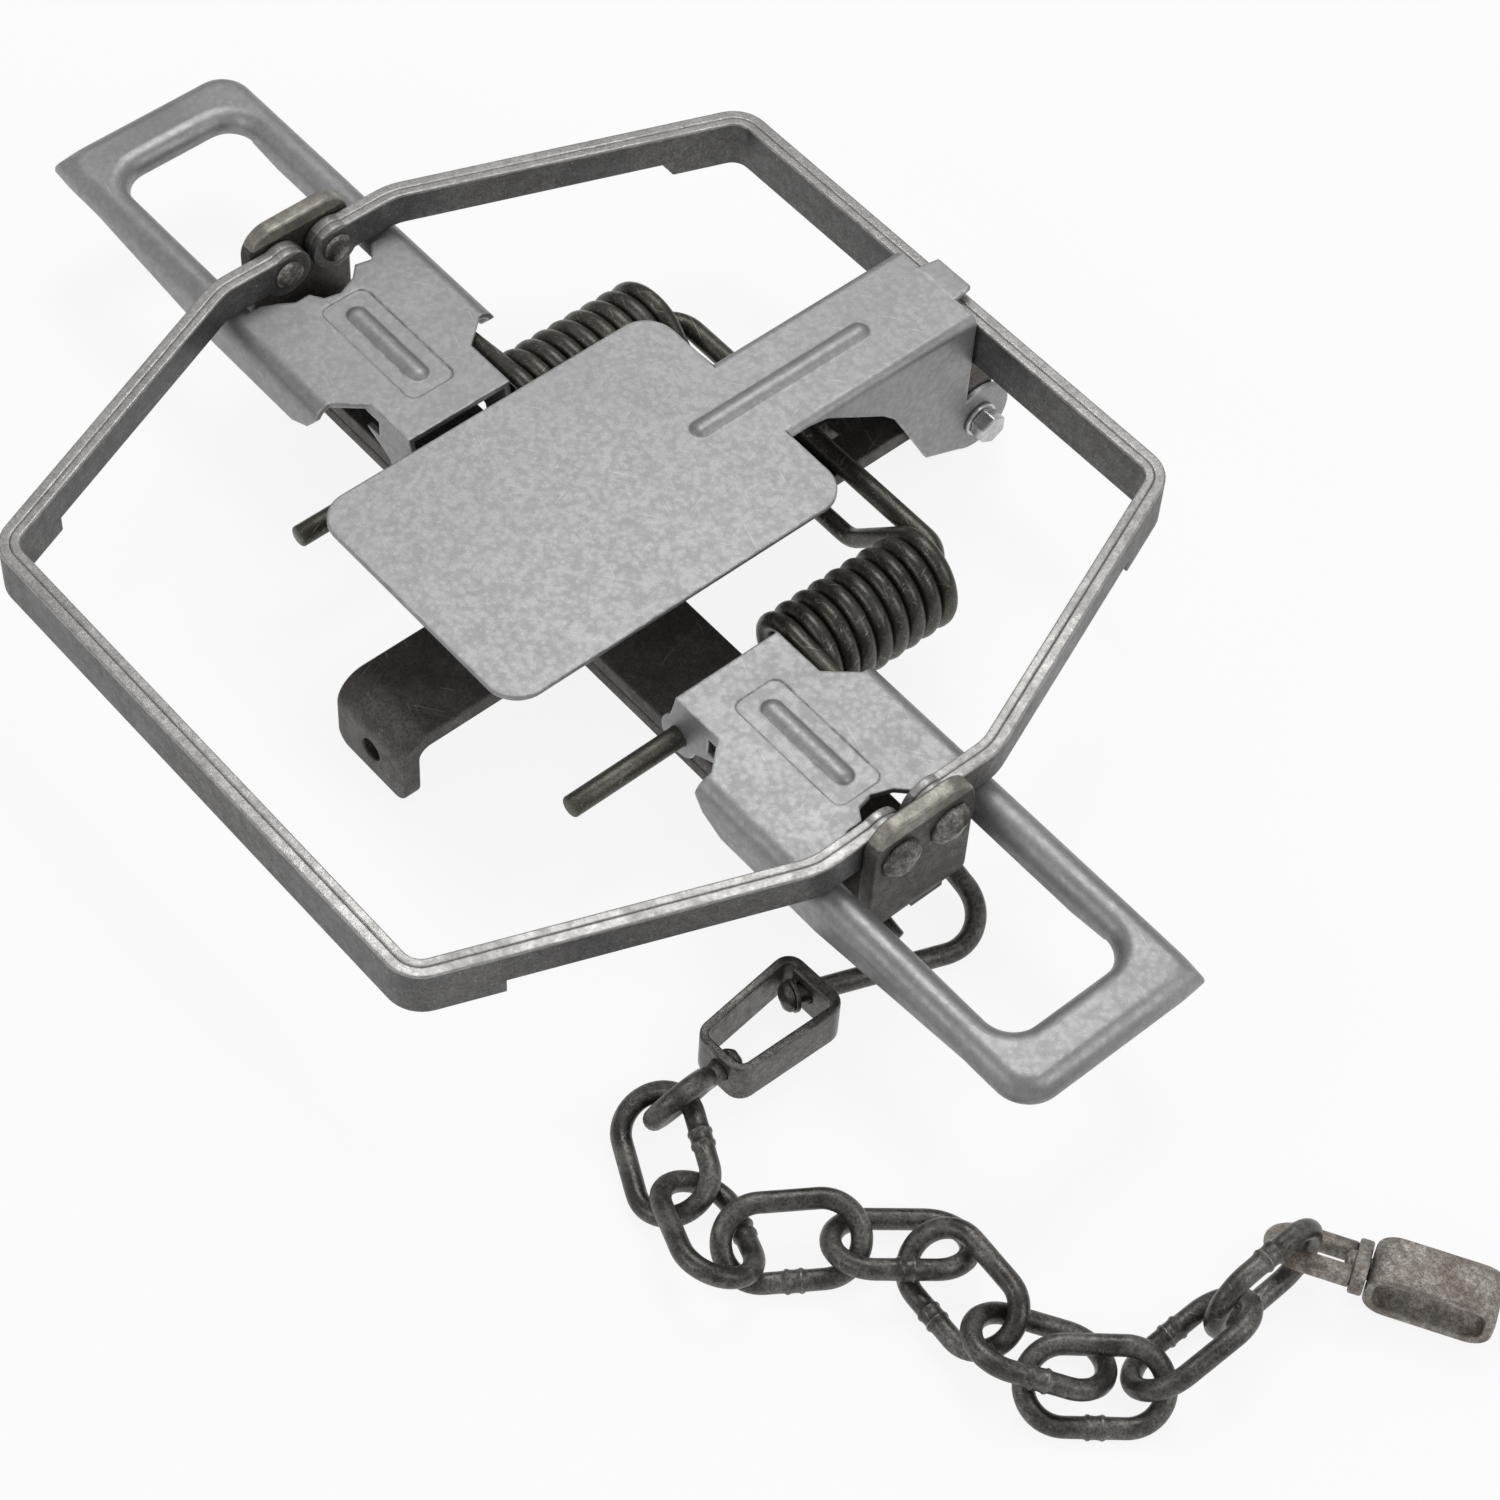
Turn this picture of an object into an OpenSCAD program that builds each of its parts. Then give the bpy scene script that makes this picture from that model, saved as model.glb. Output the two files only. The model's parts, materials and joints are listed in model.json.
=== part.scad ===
// A foothold trap laid open: two jaws, two slotted spring levers, a trigger pan and a swivelled chain.
// Sizes are millimetres. +X runs from hinge post A to hinge post B, +Y from the bent tab to the pan's pivot.
// The origin is the middle of the base strip's underside, and the ground lies ground_gap below it.

/* [Base] */
// Distance between the inner faces of the two hinge posts
post_gap = 211.6; // [206:0.2:218]
// Thickness of the base strip and its bent-up posts
base_t = 4; // [3.5:0.1:4.5]
// Width of the base strip
base_w = 25.4; // [23:0.2:27]
// Width of a hinge post
post_w = 28.4; // [28:0.2:29]
// Height of a hinge post's top above the base's underside
post_h = 38; // [36:0.5:40]
// Inner radius of the bend between base and post
post_bend_r = 3; // [2:0.5:5]
// Radius of a post's top corners
post_corner_r = 7; // [4:0.5:9]
// Thickness of the doubler strips and of the cross strip
strip_t = 4.5; // [4:0.1:5]
// Distance of a doubler's outer end from the middle
doubler_end = 92; // [85:1:96]
// Height of the base's underside above the ground
ground_gap = 12; // [11.5:0.5:13]

/* [Cross strip] */
// Width of the cross strip
cross_w = 24.3; // [22:0.1:24.5]
// Distance of the tab's outer face from the middle
tab_y = 62; // [60:1:70]
// Distance of the cross strip's squared end from the middle
cross_end = 112.5; // [111:0.5:116]
// Inner radius of the bend above the tab
tab_bend_r = 3; // [2:0.5:4]
// Radius of the tab's bottom corners
tab_corner_r = 4; // [2:0.5:6]
// Diameter of the tab's hole
tab_hole_d = 5.8; // [4:0.2:7]
// Height of the tab's hole above the ground
tab_hole_h = 8; // [6:0.5:10]
// Side of the square hole through the cross strip
square_hole = 4.4; // [3:0.2:6]
// Distance of the square hole from the middle
square_hole_y = 70; // [69:0.5:76]

/* [Jaws] */
// Distance of a jaw's long side from the middle
jaw_reach = 108; // [106:0.5:112]
// Half length of a jaw's long side, to its sharp corner
jaw_half = 72.9; // [68:0.5:76]
// Distance from the middle to the knee in a jaw's leg
knee_y = 25; // [22:0.5:28]
// Height of a jaw's top edge above the base's underside
jaw_top = 33; // [32.5:0.1:34]
// Depth of a jaw along its long side
jaw_depth = 13; // [11:0.5:14]
// Depth of a jaw's legs
leg_depth = 9; // [7:0.2:9]
// Distance from the middle to the step between leg and long side
step_y = 88; // [80:1:96]
// Thickness of a jaw's main strip
jaw_t = 2.5; // [2:0.1:3]
// Thickness of a jaw's laminate strip
laminate_t = 2.1; // [1.5:0.1:2.6]
// Outer radius of a jaw's corners
jaw_corner_r = 9; // [7:0.5:14]
// Outer radius of a jaw's knees
knee_r = 18; // [12:1:24]
// Radius of the eye at a jaw's end
eye_r = 6.3; // [5.5:0.1:6.6]
// Distance of a jaw's hinge from the middle plane
pin_y = 6.9; // [6.8:0.1:7.4]
// Height of the jaw hinges above the base's underside
pin_z = 27.5; // [27:0.1:28.5]
// Diameter of a jaw rivet
pin_d = 6; // [5:0.1:6.4]
// Diameter and height of a jaw rivet's outer head
pin_head_d = 10.5; // [10:0.1:13]
pin_head_h = 3.2; // [2:0.1:4]
// Diameter and height of a jaw rivet's inner head
pin_tip_d = 7.6; // [7:0.1:9]
pin_tip_h = 1.5; // [1:0.1:2.5]

/* [Levers] */
// Thickness of the levers' sheet
sheet_t = 1.5; // [1.2:0.1:1.6]
// Height of a lever's top face above the base's underside
lever_top = 23.4; // [22.8:0.1:23.5]
// Distance of a lever's outer end from the middle
lever_end = 169.4; // [166:0.2:176]
// Distance of a lever's inner end from the middle
lever_start = 46.5; // [44:0.5:47]
// Distance from the middle to the start of a lever's wings
wing_start = 66.5; // [64:0.5:70]
// Half width of a lever across its wings
wing_half = 26; // [25:0.2:28]
// Outer radius of a rail's rolled top
rail_r = 4.5; // [3.5:0.1:5]
// Distance from the middle to the inner end of a lever's slot
slot_start = 97; // [94:0.5:99]
// Distance from the middle to the outer end of a lever's slot
slot_end = 155; // [150:0.5:158]
// Radius of the corners at the slot's outer end
slot_corner_r = 7; // [4:0.5:9]
// Height of the skirts' lower edge above the base's underside
skirt_low = 13; // [12:0.5:15]
// Height of the rails' lower edge at their outer end
skirt_high = 18.5; // [17:0.5:19.5]
// Radius of a lever's outer corners
lever_corner_r = 8.5; // [8:0.5:16]
// Length and width of the pressed panel on a lever
panel_l = 35; // [28:0.5:40]
panel_w = 13; // [11:0.5:15]
// Width of the raised bead inside the panel
bead_w = 5.5; // [4:0.1:7]
// Height of the raised bead above the panel's floor
bead_h = 1.3; // [0.8:0.1:2]

/* [Axle rod] */
// Diameter of the axle rod
rod_d = 5.2; // [4.8:0.1:5.4]
// Distance of the rod's legs from the middle
rod_x = 48; // [47:0.5:50]
// Distance of the rod's free ends from the middle
rod_tail = 45; // [40:1:52]
// Distance of the rod's crosspiece from the middle
rod_cross_y = 65; // [64.5:0.5:66]
// Radius of the rod's bends
rod_bend_r = 8; // [6:0.5:10]

/* [Springs] */
// Diameter of the spring wire
wire_d = 4.3; // [4:0.1:4.4]
// Mean radius of the turns
coil_r = 9.9; // [9:0.1:9.9]
// Advance of one turn
coil_pitch = 4.85; // [4.8:0.05:5]
// Whole turns of each spring
coil_turns = 8; // [6:1:8]
// Distance from the middle to the first turn
coil_start = 18; // [17.5:0.1:18.5]
// Slope of the leg under the lever, in degrees
lever_leg_slope = 8; // [7:0.5:10]
// Length of the leg under the lever
lever_leg_l = 30; // [24:1:34]
// How far past the top the base leg leaves the last turn, in degrees
base_leg_turn = 45; // [40:1:50]
// Radius of the bend in the base leg
leg_bend_r = 7; // [5:0.5:9]
// Distance of the base leg's end from the middle
leg_end_x = 3; // [2.5:0.5:8]

/* [Pan] */
// Length of the pan's plate
pan_l = 96; // [90:1:98]
// Width of the pan's plate
pan_w = 69; // [60:1:72]
// Distance of the pan's front edge from the middle
pan_front = 50; // [46:0.5:54]
// Height of the pan's top face above the base's underside
pan_top = 36.3; // [35.5:0.1:37.5]
// Radius of the pan's corners
pan_corner_r = 8; // [3:0.5:9]
// Outer radius of the folds between the pan's neck and its flanges
pan_fold_r = 2.5; // [1.5:0.1:3]
// Thickness of the pan's sheet
pan_t = 1.5; // [1.2:0.1:1.7]
// Distance of the pan's pivot from the middle
pivot_y = 107.3; // [106:0.1:108]
// Height of the pan's pivot above the ground
pivot_h = 11; // [10.5:0.1:11.5]
// Radius of the ears round the pivot
ear_r = 9.5; // [8:0.1:10]
// Length and width of the pan's pressed rib
rib_l = 52; // [40:1:56]
rib_w = 5; // [4:0.1:7]
// Height of the pan's pressed rib
rib_h = 1.2; // [0.6:0.1:2]
// Diameter of the pivot bolt
bolt_d = 5; // [4.5:0.1:5.5]
// Width across flats and height of the bolt's head
bolt_head_w = 7; // [6.5:0.1:10]
bolt_head_h = 4.2; // [3.5:0.1:6]
// Height of the nut
nut_h = 4; // [3:0.1:5]
// Diameter and thickness of the washers
washer_d = 9; // [8:0.5:13]
washer_t = 1; // [0.8:0.1:1.4]
// Thickness of the pan's bracket
bracket_t = 2; // [1.5:0.1:2.5]

/* [Chain ring and first swivel] */
// Diameter of the ring's wire
ring_wire = 4.8; // [4.4:0.1:5]
// Distance of the ring's straight bar from the middle
ring_x = 97; // [94:0.5:98]
// Offset of the ring from the trap's middle plane
ring_y = 6; // [4:0.5:7]
// Mean radius of the ring's round side
ring_r = 10.6; // [10:0.1:11]
// Mean distance from the ring's bar to the middle of its round side
ring_reach = 11.8; // [11:0.1:13]
// Mean radius of the ring's corners beside its bar
ring_corner_r = 4; // [3:0.1:5]
// Downward slope of the ring, in degrees
ring_slope = 16; // [14:0.5:17]
// Turn of the ring's cut end towards the shank, in degrees
ring_close_turn = 8; // [4:1:10]
// Angle of the shank that leaves the ring, in degrees
shank_turn = 19; // [17:0.5:21]
// Width and thickness of the ring's clip
clip_w = 9; // [6:0.5:9.5]
clip_t = 1.8; // [1.5:0.1:2.4]
// Height of the swivel bands
band_h = 11.5; // [10.5:0.1:12]
// Thickness of the first swivel band
band_t = 2; // [1.6:0.1:3.4]
// Thickness of the band's inner end, which laps behind the wall that the shank goes through
lap_t = 1.2; // [0.8:0.1:1.6]
// Length of the first swivel band
box_l = 29.8; // [29:0.2:32]
// Half width of the first band at the ring's end
box_near = 9.3; // [9:0.1:11.5]
// Half width of the first band at the chain's end
box_far = 7.3; // [7:0.1:9]
// Outer radius of the first band's corners
box_corner_r = 4; // [3.5:0.1:6]
// Diameter and height of the rivet heads inside the bands
swivel_head_d = 6.6; // [6:0.1:6.8]
swivel_head_h = 2.4; // [2:0.1:2.6]
// Diameter of the washer under the ring shank's head
swivel_washer_d = 7.4; // [7:0.1:7.6]
// Diameter of the riveted eye's wire
hook_wire = 4.8; // [4.4:0.1:5]
// Mean radius of the riveted eye
hook_r = 6.8; // [6.5:0.1:7.2]

/* [Chain] */
// Mean length of a link
link_l = 28.8; // [28:0.1:29.6]
// Mean width of a link
link_w = 16.4; // [16:0.1:17]
// Diameter of the links' wire
link_wire = 4.6; // [4:0.1:4.8]
// Diameter and length of the weld on a link's side
weld_d = 5; // [4.8:0.1:5.4]
weld_l = 3.2; // [2:0.1:5]

/* [End swivel] */
// Diameter of the end eye's wire
end_wire = 4.6; // [4:0.1:4.8]
// Mean radius of the end eye
end_r = 6.2; // [6:0.1:6.8]
// Length of the end eye's arms
end_arm = 10.5; // [9:0.5:12]
// Width, height and thickness of the end plate
plate_w = 17.4; // [17:0.1:18.5]
plate_h = 7.2; // [6.6:0.1:7.6]
plate_t = 3; // [2:0.1:4]
// Diameter of the end rivet
end_rivet_d = 4.6; // [4:0.1:5]
// Length of the end band
end_box_l = 27; // [24:0.5:30]
// Thickness of the end band and outer radius of its corners
end_band_t = 3.2; // [2.8:0.1:3.4]
end_corner_r = 5; // [4:0.1:6]
// Height of the end band's loop
end_box_h = 13.8; // [13:0.1:14]
// Width of the end band
end_band_w = 11; // [10:0.1:13]
// Diameter of the hole in the end band's far wall
end_hole_d = 6; // [5:0.1:7]

/* [Fits] */
// Radial clearance of a running fit
fit = 0.05; // [0.02:0.01:0.1]
// Side gap between pieces that move past each other
side_gap = 0.3; // [0.2:0.05:0.5]
// Gap under a rivet head or a washer
head_gap = 0.15; // [0.1:0.05:0.3]
// Gap between the pan's rear edge and the rear jaw
pan_gap = 0.8; // [0.6:0.1:1.5]

/* [Hidden] */
$fn = 48;

// Colours as photographed
dark_iron = [0.20, 0.19, 0.19];
jaw_grey = [0.36, 0.35, 0.35];
sheet_grey = [0.66, 0.65, 0.67];
spring_grey = [0.30, 0.30, 0.27];
chain_grey = [0.33, 0.32, 0.31];
zinc = [0.78, 0.78, 0.78];
rusty = [0.36, 0.31, 0.28];

// Length of a tool that cuts or keeps everything on its way
far = 500;

// Frame levels and faces
ground = -ground_gap;
stack_top = base_t + strip_t;
post_in = post_gap / 2;
post_out = post_in + base_t;
post_shoulder = post_in - post_bend_r;
pivot_z = ground + pivot_h;

// Jaw faces
jaw_x = post_in - side_gap;
jaw_inner_x = jaw_x - jaw_t - laminate_t;
jaw_inner_y = jaw_reach - jaw_t - laminate_t;
jaw_arc_steps = 8;

// Lever levels
rod_z = stack_top + fit + rod_d / 2;
lever_under = lever_top - sheet_t;
rail_y = wing_half - rail_r;
rail_z = lever_top - rail_r;
roll_end = slot_end - slot_corner_r;
tip_strip = 0.3;
flange_in = base_w / 2 + side_gap;
flange_out = flange_in + sheet_t;
panel_x = 73;
panel_sink = 0.5;

// Pan faces
flange_x = cross_w / 2 + side_gap + pan_t;
pan_rear = jaw_inner_y - pan_gap;
rib_y = 55;
flange_y = 48;
washer_x = flange_x + head_gap;
bracket_out = cross_w / 2 - side_gap - fit;

// Spring route
coil_rings = 8;
leg_rings = 4;
wire_sides = 6;
bar_z = base_t - side_gap - wire_d / 2;

// Ring and first swivel
ring_z = -side_gap / 2 - ring_wire / 2;
shank_l = 39;
shank_wall = 30.2;
shank_bore_from = shank_wall - 8;
rivet_head_d = swivel_head_d - 0.6;
box_at = [108.5, -26, ground + band_h / 2];
box_turn = [-87.6, 0, 0];
lap_half = 5;
lap_in = 0.5;
hook_at = [112, -67.5, ground + 8.7];
hook_turn = [-84.5, 9.4, 70];
hook_wall = 14.9;

// Where each link lies: distance from the middle, height above the ground, then its turn about
// the vertical, its rise and its roll, in degrees. The last number tells which side carries the weld.
links = [
    [118.8, -77, 5.6, -26, -2, 22, 1],
    [138.8, -82.8, 8, -23, 15, -24, 1],
    [151.4, -71, 7.1, 54, 3, 33, -1],
    [165.8, -54, 6.4, 53, -5, -22, -1],
    [182.1, -52.1, 8.4, -6, 4, 30, -1],
    [202.2, -49.8, 8.4, 40, -14, -20, -1],
    [214.3, -45.4, 6, 49, 0, 26, -1],
    [220.7, -25.2, 9.1, 87, 11, -42, 1],
    [220.2, -4.7, 11.5, 92, -1, 87, 1]];
end_at = [219.5, 8.5, ground + 8];
end_turn = [30, 0, -35];
end_flat_turn = [30, 0, 0];
end_box_start = end_arm + plate_t + side_gap;
end_head_gap = 0.7;
end_washer_t = 2;

// A vector of length one
function unit(v) = v / norm(v);

// A list in the opposite order
function reversed(list) = [for (i = [len(list) - 1:-1:0]) list[i]];

// Signed angle from direction a to direction b
function turn_of(a, b) = atan2(a[0] * b[1] - a[1] * b[0], a[0] * b[0] + a[1] * b[1]);

// Points [x, y, heading] round corner b of the path from a to c
function corner(a, b, c, r, n) =
    let (d1 = unit(b - a), d2 = unit(c - b), turn = turn_of(d1, d2), side = sign(turn))
    let (start = b - r * tan(abs(turn) / 2) * d1, middle = start + side * r * [-d1[1], d1[0]])
    let (heading = atan2(d1[1], d1[0]))
    [for (k = [0:n]) let (h = heading + turn * k / n)
        [middle[0] + side * r * sin(h), middle[1] - side * r * cos(h), h]];

// A path of [x, y, heading] moved sideways to its left
function moved(path, by) = [for (p = path) [p[0] - by * sin(p[2]), p[1] + by * cos(p[2])]];

// The strip between two sideways shifts of a path
module strip_plan(path, from, to) {
    polygon(concat(moved(path, from), reversed(moved(path, to))));
}

// A rectangle from (-half, 0) to (half, top) with round bottom corners
module round_bottom(half, top, r) {
    translate([-half, r]) square([2 * half, top - r]);
    translate([-half + r, 0]) square([2 * (half - r), 2 * r]);
    for (x = [-half + r, half - r]) translate([x, r]) circle(r);
}

// A rectangle round its middle with four round corners
module round_rect(w, h, r) {
    square([w - 2 * r, h], center = true);
    square([w, h - 2 * r], center = true);
    for (x = [-1, 1], y = [-1, 1]) translate([x * (w / 2 - r), y * (h / 2 - r)]) circle(r);
}

// A U of sheet, open at the top, drawn round its inner faces
module u_plan(half_in, top, t, r) {
    difference() {
        round_bottom(half_in + t, top, r + t);
        translate([0, t]) round_bottom(half_in, top, r);
    }
}

// Stands a plan drawn in (x, z) up and gives it a width along Y
module along_y(width) {
    rotate([90, 0, 0]) linear_extrude(width, center = true) children();
}

// Stands a plan drawn in (y, z) up and gives it a width along X
module along_x(width) {
    rotate([90, 0, 90]) linear_extrude(width, center = true) children();
}

// A round bar along X, from one place to another
module bar_x(d, from, to) {
    translate([from, 0, 0]) rotate([0, 90, 0]) cylinder(d = d, h = to - from);
}

// A low dome on the XY plane
module dome(d, h) {
    ball = (d * d / 4 + h * h) / (2 * h);
    rotate_extrude() intersection() {
        translate([0, h - ball]) circle(ball, $fn = 96);
        square([d / 2, h]);
    }
}

// Part of a ring of wire in the XY plane, from one angle on through another
module wire_bend(r, wire, from, through) {
    rotate([0, 0, from]) rotate_extrude(angle = through) translate([r, 0]) circle(d = wire);
}

// A half round bead along X on the XY plane
module bead(l, w, h) {
    ball = (w * w / 4 + h * h) / (2 * h);
    intersection() {
        translate([0, 0, h - ball]) union() {
            bar_x(2 * ball, -(l - w) / 2, (l - w) / 2);
            for (x = [-1, 1]) translate([x * (l - w) / 2, 0, 0]) sphere(ball);
        }
        translate([-l, -w, -sheet_t / 2]) cube([2 * l, 2 * w, h + sheet_t]);
    }
}

// Puts a piece at its place, turned about the vertical, raised and rolled
module laid(at, turn) {
    translate(at) rotate([0, 0, turn[0]]) rotate([0, -turn[1], 0]) rotate([turn[2], 0, 0]) children();
}

module frame_base() {
    color(dark_iron) difference() {
        intersection() {
            along_y(post_w) u_plan(post_in, post_h, base_t, post_bend_r);
            union() {
                translate([-post_in, -base_w / 2, 0]) cube([2 * post_in, base_w, base_t + post_bend_r]);
                for (side = [-1, 1]) translate([side * (post_shoulder + far / 2), 0, post_h])
                    rotate([180, 0, 0]) along_x(far) round_bottom(post_w / 2, post_h, post_corner_r);
            }
        }
        for (y = [-pin_y, pin_y]) translate([0, y, pin_z]) bar_x(pin_d + 2 * fit, -far / 2, far / 2);
    }
}

module doubler() {
    inner = cross_w / 2 + side_gap;
    translate([inner, -base_w / 2, base_t]) cube([doubler_end - inner, base_w, strip_t]);
}

module doubler_a() {
    color(dark_iron) mirror([1, 0, 0]) doubler();
}

module doubler_b() {
    color(dark_iron) doubler();
}

// The cross strip's side, drawn in (y, z) with the bend above the tab
module cross_side() {
    bend_out = tab_bend_r + strip_t;
    bend_y = -tab_y + bend_out;
    bend_z = stack_top - bend_out;
    difference() {
        union() {
            translate([bend_y, bend_z]) circle(bend_out);
            translate([bend_y, ground]) square([cross_end - bend_y, stack_top - ground]);
            translate([-tab_y, ground]) square([bend_out, bend_z - ground]);
        }
        translate([bend_y, bend_z]) circle(tab_bend_r);
        translate([bend_y, ground - 1]) square([far, base_t - ground + 1]);
        translate([bend_y - tab_bend_r, ground - 1]) square([far, bend_z - ground + 1]);
    }
}

module cross_strip() {
    color(dark_iron) difference() {
        intersection() {
            along_x(cross_w) cross_side();
            union() {
                translate([-far / 2, -tab_y + strip_t + tab_bend_r, base_t - tab_bend_r])
                    cube([far, far, far]);
                translate([0, -tab_y, ground]) along_y(far) round_bottom(cross_w / 2, far, tab_corner_r);
            }
        }
        translate([0, -tab_y + strip_t / 2, ground + tab_hole_h])
            rotate([90, 0, 0]) cylinder(d = tab_hole_d, h = 2 * strip_t, center = true);
        translate([1, square_hole_y, base_t + strip_t / 2])
            cube([square_hole, square_hole, 2 * strip_t], center = true);
    }
}

module pan_bracket() {
    bracket_l = 12.5;
    color(dark_iron) difference() {
        translate([0, pivot_y, ground]) along_y(bracket_l)
            u_plan(bracket_out - bracket_t, base_t - ground, bracket_t, bracket_t);
        translate([0, pivot_y, pivot_z]) bar_x(bolt_d + 2 * fit, -bracket_out - 1, bracket_out + 1);
    }
}

module ring_clip() {
    bore = ring_wire + 2 * fit;
    outer = bore / 2 + clip_t;
    foot = 6;
    color(dark_iron) translate([ring_x, ring_y, 0]) difference() {
        along_y(clip_w) union() {
            translate([0, ring_z]) circle(outer);
            translate([-outer, ring_z]) square([2 * outer, -ring_z]);
            translate([-outer - foot, -clip_t]) square([2 * (outer + foot), clip_t]);
        }
        translate([0, 0, ring_z]) rotate([90, 0, 0]) cylinder(d = bore, h = 2 * clip_w, center = true);
        translate([-bore / 2, -clip_w, ring_z]) cube([bore, 2 * clip_w, far]);
        translate([-far / 2, -clip_w, 0]) cube([far, 2 * clip_w, far]);
    }
}

// A rivet through a post and a jaw's end, on the +X side
module jaw_pin() {
    tip_x = jaw_inner_x - head_gap;
    bar_x(pin_d, tip_x - pin_tip_h / 2, post_out + pin_head_h / 2);
    bar_x(pin_tip_d, tip_x - pin_tip_h, tip_x);
    translate([post_out, 0, 0]) rotate([0, 90, 0]) dome(pin_head_d, pin_head_h);
}

// Places a rivet at post A (-1) or B (1), on the front (-1) or the rear (1)
module jaw_pin_at(post, jaw) {
    color(chain_grey) translate([0, jaw * pin_y, pin_z]) mirror([(1 - post) / 2, 0, 0]) jaw_pin();
}

module pin_a_front() { jaw_pin_at(-1, -1); }
module pin_a_rear() { jaw_pin_at(-1, 1); }
module pin_b_front() { jaw_pin_at(1, -1); }
module pin_b_rear() { jaw_pin_at(1, 1); }

module axle_rod() {
    leg_l = rod_tail + rod_cross_y - rod_bend_r;
    color(dark_iron) translate([0, 0, rod_z]) {
        for (side = [-1, 1]) translate([side * rod_x, -rod_tail + leg_l / 2, 0])
            rotate([90, 0, 0]) cylinder(d = rod_d, h = leg_l, center = true);
        translate([0, rod_cross_y, 0]) bar_x(rod_d, rod_bend_r - rod_x, rod_x - rod_bend_r);
        for (side = [0, 1]) mirror([side, 0, 0]) translate([rod_x - rod_bend_r, rod_cross_y - rod_bend_r, 0])
            wire_bend(rod_bend_r, rod_d, 0, 90);
    }
}

// The spring's centre line in (x, y, z), from the leg under the lever to the bar under the cross strip
coil_first = -lever_leg_slope;
coil_last = 360 * coil_turns + base_leg_turn;
coil_steps = round((coil_last - coil_first) / 360 * coil_rings);
function coil_point(a) = [rod_x - coil_r * sin(a), coil_start + coil_pitch * (a - coil_first) / 360,
    rod_z + coil_r * cos(a)];
leg_top = coil_point(coil_first);
leg_foot = coil_point(coil_last);
base_leg_way = [-cos(base_leg_turn), 0, -sin(base_leg_turn)];
base_leg_l = (leg_foot[2] - bar_z) / sin(base_leg_turn);
leg_corner = leg_foot + base_leg_l * base_leg_way;
leg_bend = [for (p = corner([leg_foot[0], leg_foot[2]], [leg_corner[0], leg_corner[2]],
    [leg_end_x, bar_z], leg_bend_r, 3)) [p[0], leg_foot[1], p[1]]];
spring_route = concat(
    [for (k = [0:leg_rings - 1]) leg_top + lever_leg_l * (1 - k / leg_rings)
        * [cos(lever_leg_slope), 0, -sin(lever_leg_slope)]],
    [for (k = [0:coil_steps]) coil_point(coil_first + (coil_last - coil_first) * k / coil_steps)],
    [leg_foot + base_leg_l * base_leg_way / 3],
    leg_bend,
    [[(leg_bend[3][0] + leg_end_x) / 2, leg_foot[1], bar_z], [leg_end_x, leg_foot[1], bar_z]]);

// Direction of a route at one of its points
function way(route, i) = unit(route[min(i + 1, len(route) - 1)] - route[max(i - 1, 0)]);

// One closed tube of triangles along a route that stays nearly square to the given normal
module tube(route, d, sides, normal) {
    count = len(route);
    rings = [for (i = [0:count - 1])
        let (t = way(route, i), across = unit(cross(t, normal)), up = cross(across, t))
        for (k = [0:sides - 1]) let (a = 360 * k / sides)
            route[i] + d / 2 * (cos(a) * across + sin(a) * up)];
    walls = [for (i = [0:count - 2]) for (k = [0:sides - 1])
        let (a = i * sides + k, b = i * sides + (k + 1) % sides)
        for (face = [[a, b, b + sides], [a, b + sides, a + sides]]) face];
    first = [for (k = [1:sides - 2]) [0, k + 1, k]];
    last = [for (k = [1:sides - 2]) let (o = (count - 1) * sides) [o, o + k, o + k + 1]];
    polyhedron(concat(rings), concat(walls, first, last));
}

// Least gap between turns of the route that are more than half a turn apart
spring_gap = min([for (i = [0:len(spring_route) - 1]) for (j = [i + coil_rings / 2:1:len(spring_route) - 1])
    norm(spring_route[i] - spring_route[j])]) - wire_d;

module spring() {
    echo(least_gap_between_turns = spring_gap);
    tube(spring_route, wire_d, wire_sides, [0, 1, 0]);
}

module spring_a() {
    color(spring_grey) mirror([1, 0, 0]) spring();
}

module spring_b() {
    color(spring_grey) spring();
}

// Outer outline of the rear jaw, from the hinge at post A to the hinge at post B
jaw_hinges = [[-jaw_x, pin_y], [jaw_x, pin_y]];
jaw_knees = [[-jaw_x, knee_y], [jaw_x, knee_y]];
jaw_corners = [[-jaw_half, jaw_reach], [jaw_half, jaw_reach]];
jaw_path = concat(
    [[-jaw_x, pin_y, 90]],
    corner(jaw_hinges[0], jaw_knees[0], jaw_corners[0], knee_r, jaw_arc_steps),
    corner(jaw_knees[0], jaw_corners[0], jaw_corners[1], jaw_corner_r, jaw_arc_steps),
    corner(jaw_corners[0], jaw_corners[1], jaw_knees[1], jaw_corner_r, jaw_arc_steps),
    corner(jaw_corners[1], jaw_knees[1], jaw_hinges[1], knee_r, jaw_arc_steps),
    [[jaw_x, pin_y, -90]]);

// One strip of the rear jaw, between two depths behind its outer face
module jaw_strip(from, to) {
    difference() {
        union() {
            translate([0, 0, jaw_top - jaw_depth]) linear_extrude(jaw_depth)
                strip_plan(jaw_path, -from, -to);
            for (side = [0, 1]) mirror([side, 0, 0]) translate([0, pin_y, pin_z])
                bar_x(2 * eye_r, jaw_x - to, jaw_x - from);
        }
        translate([-far / 2, eye_r + pin_y, jaw_top - jaw_depth - 1])
            cube([far, step_y - eye_r - pin_y, jaw_depth - leg_depth + 1]);
        difference() {
            translate([-far / 2, 0, jaw_top - jaw_depth - 1])
                cube([far, eye_r + pin_y + fit, jaw_depth - leg_depth + 1]);
            translate([0, pin_y, pin_z]) bar_x(2 * eye_r, -far / 2, far / 2);
        }
        translate([0, pin_y, pin_z]) bar_x(pin_d + 2 * fit, -far / 2, far / 2);
    }
}

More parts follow.
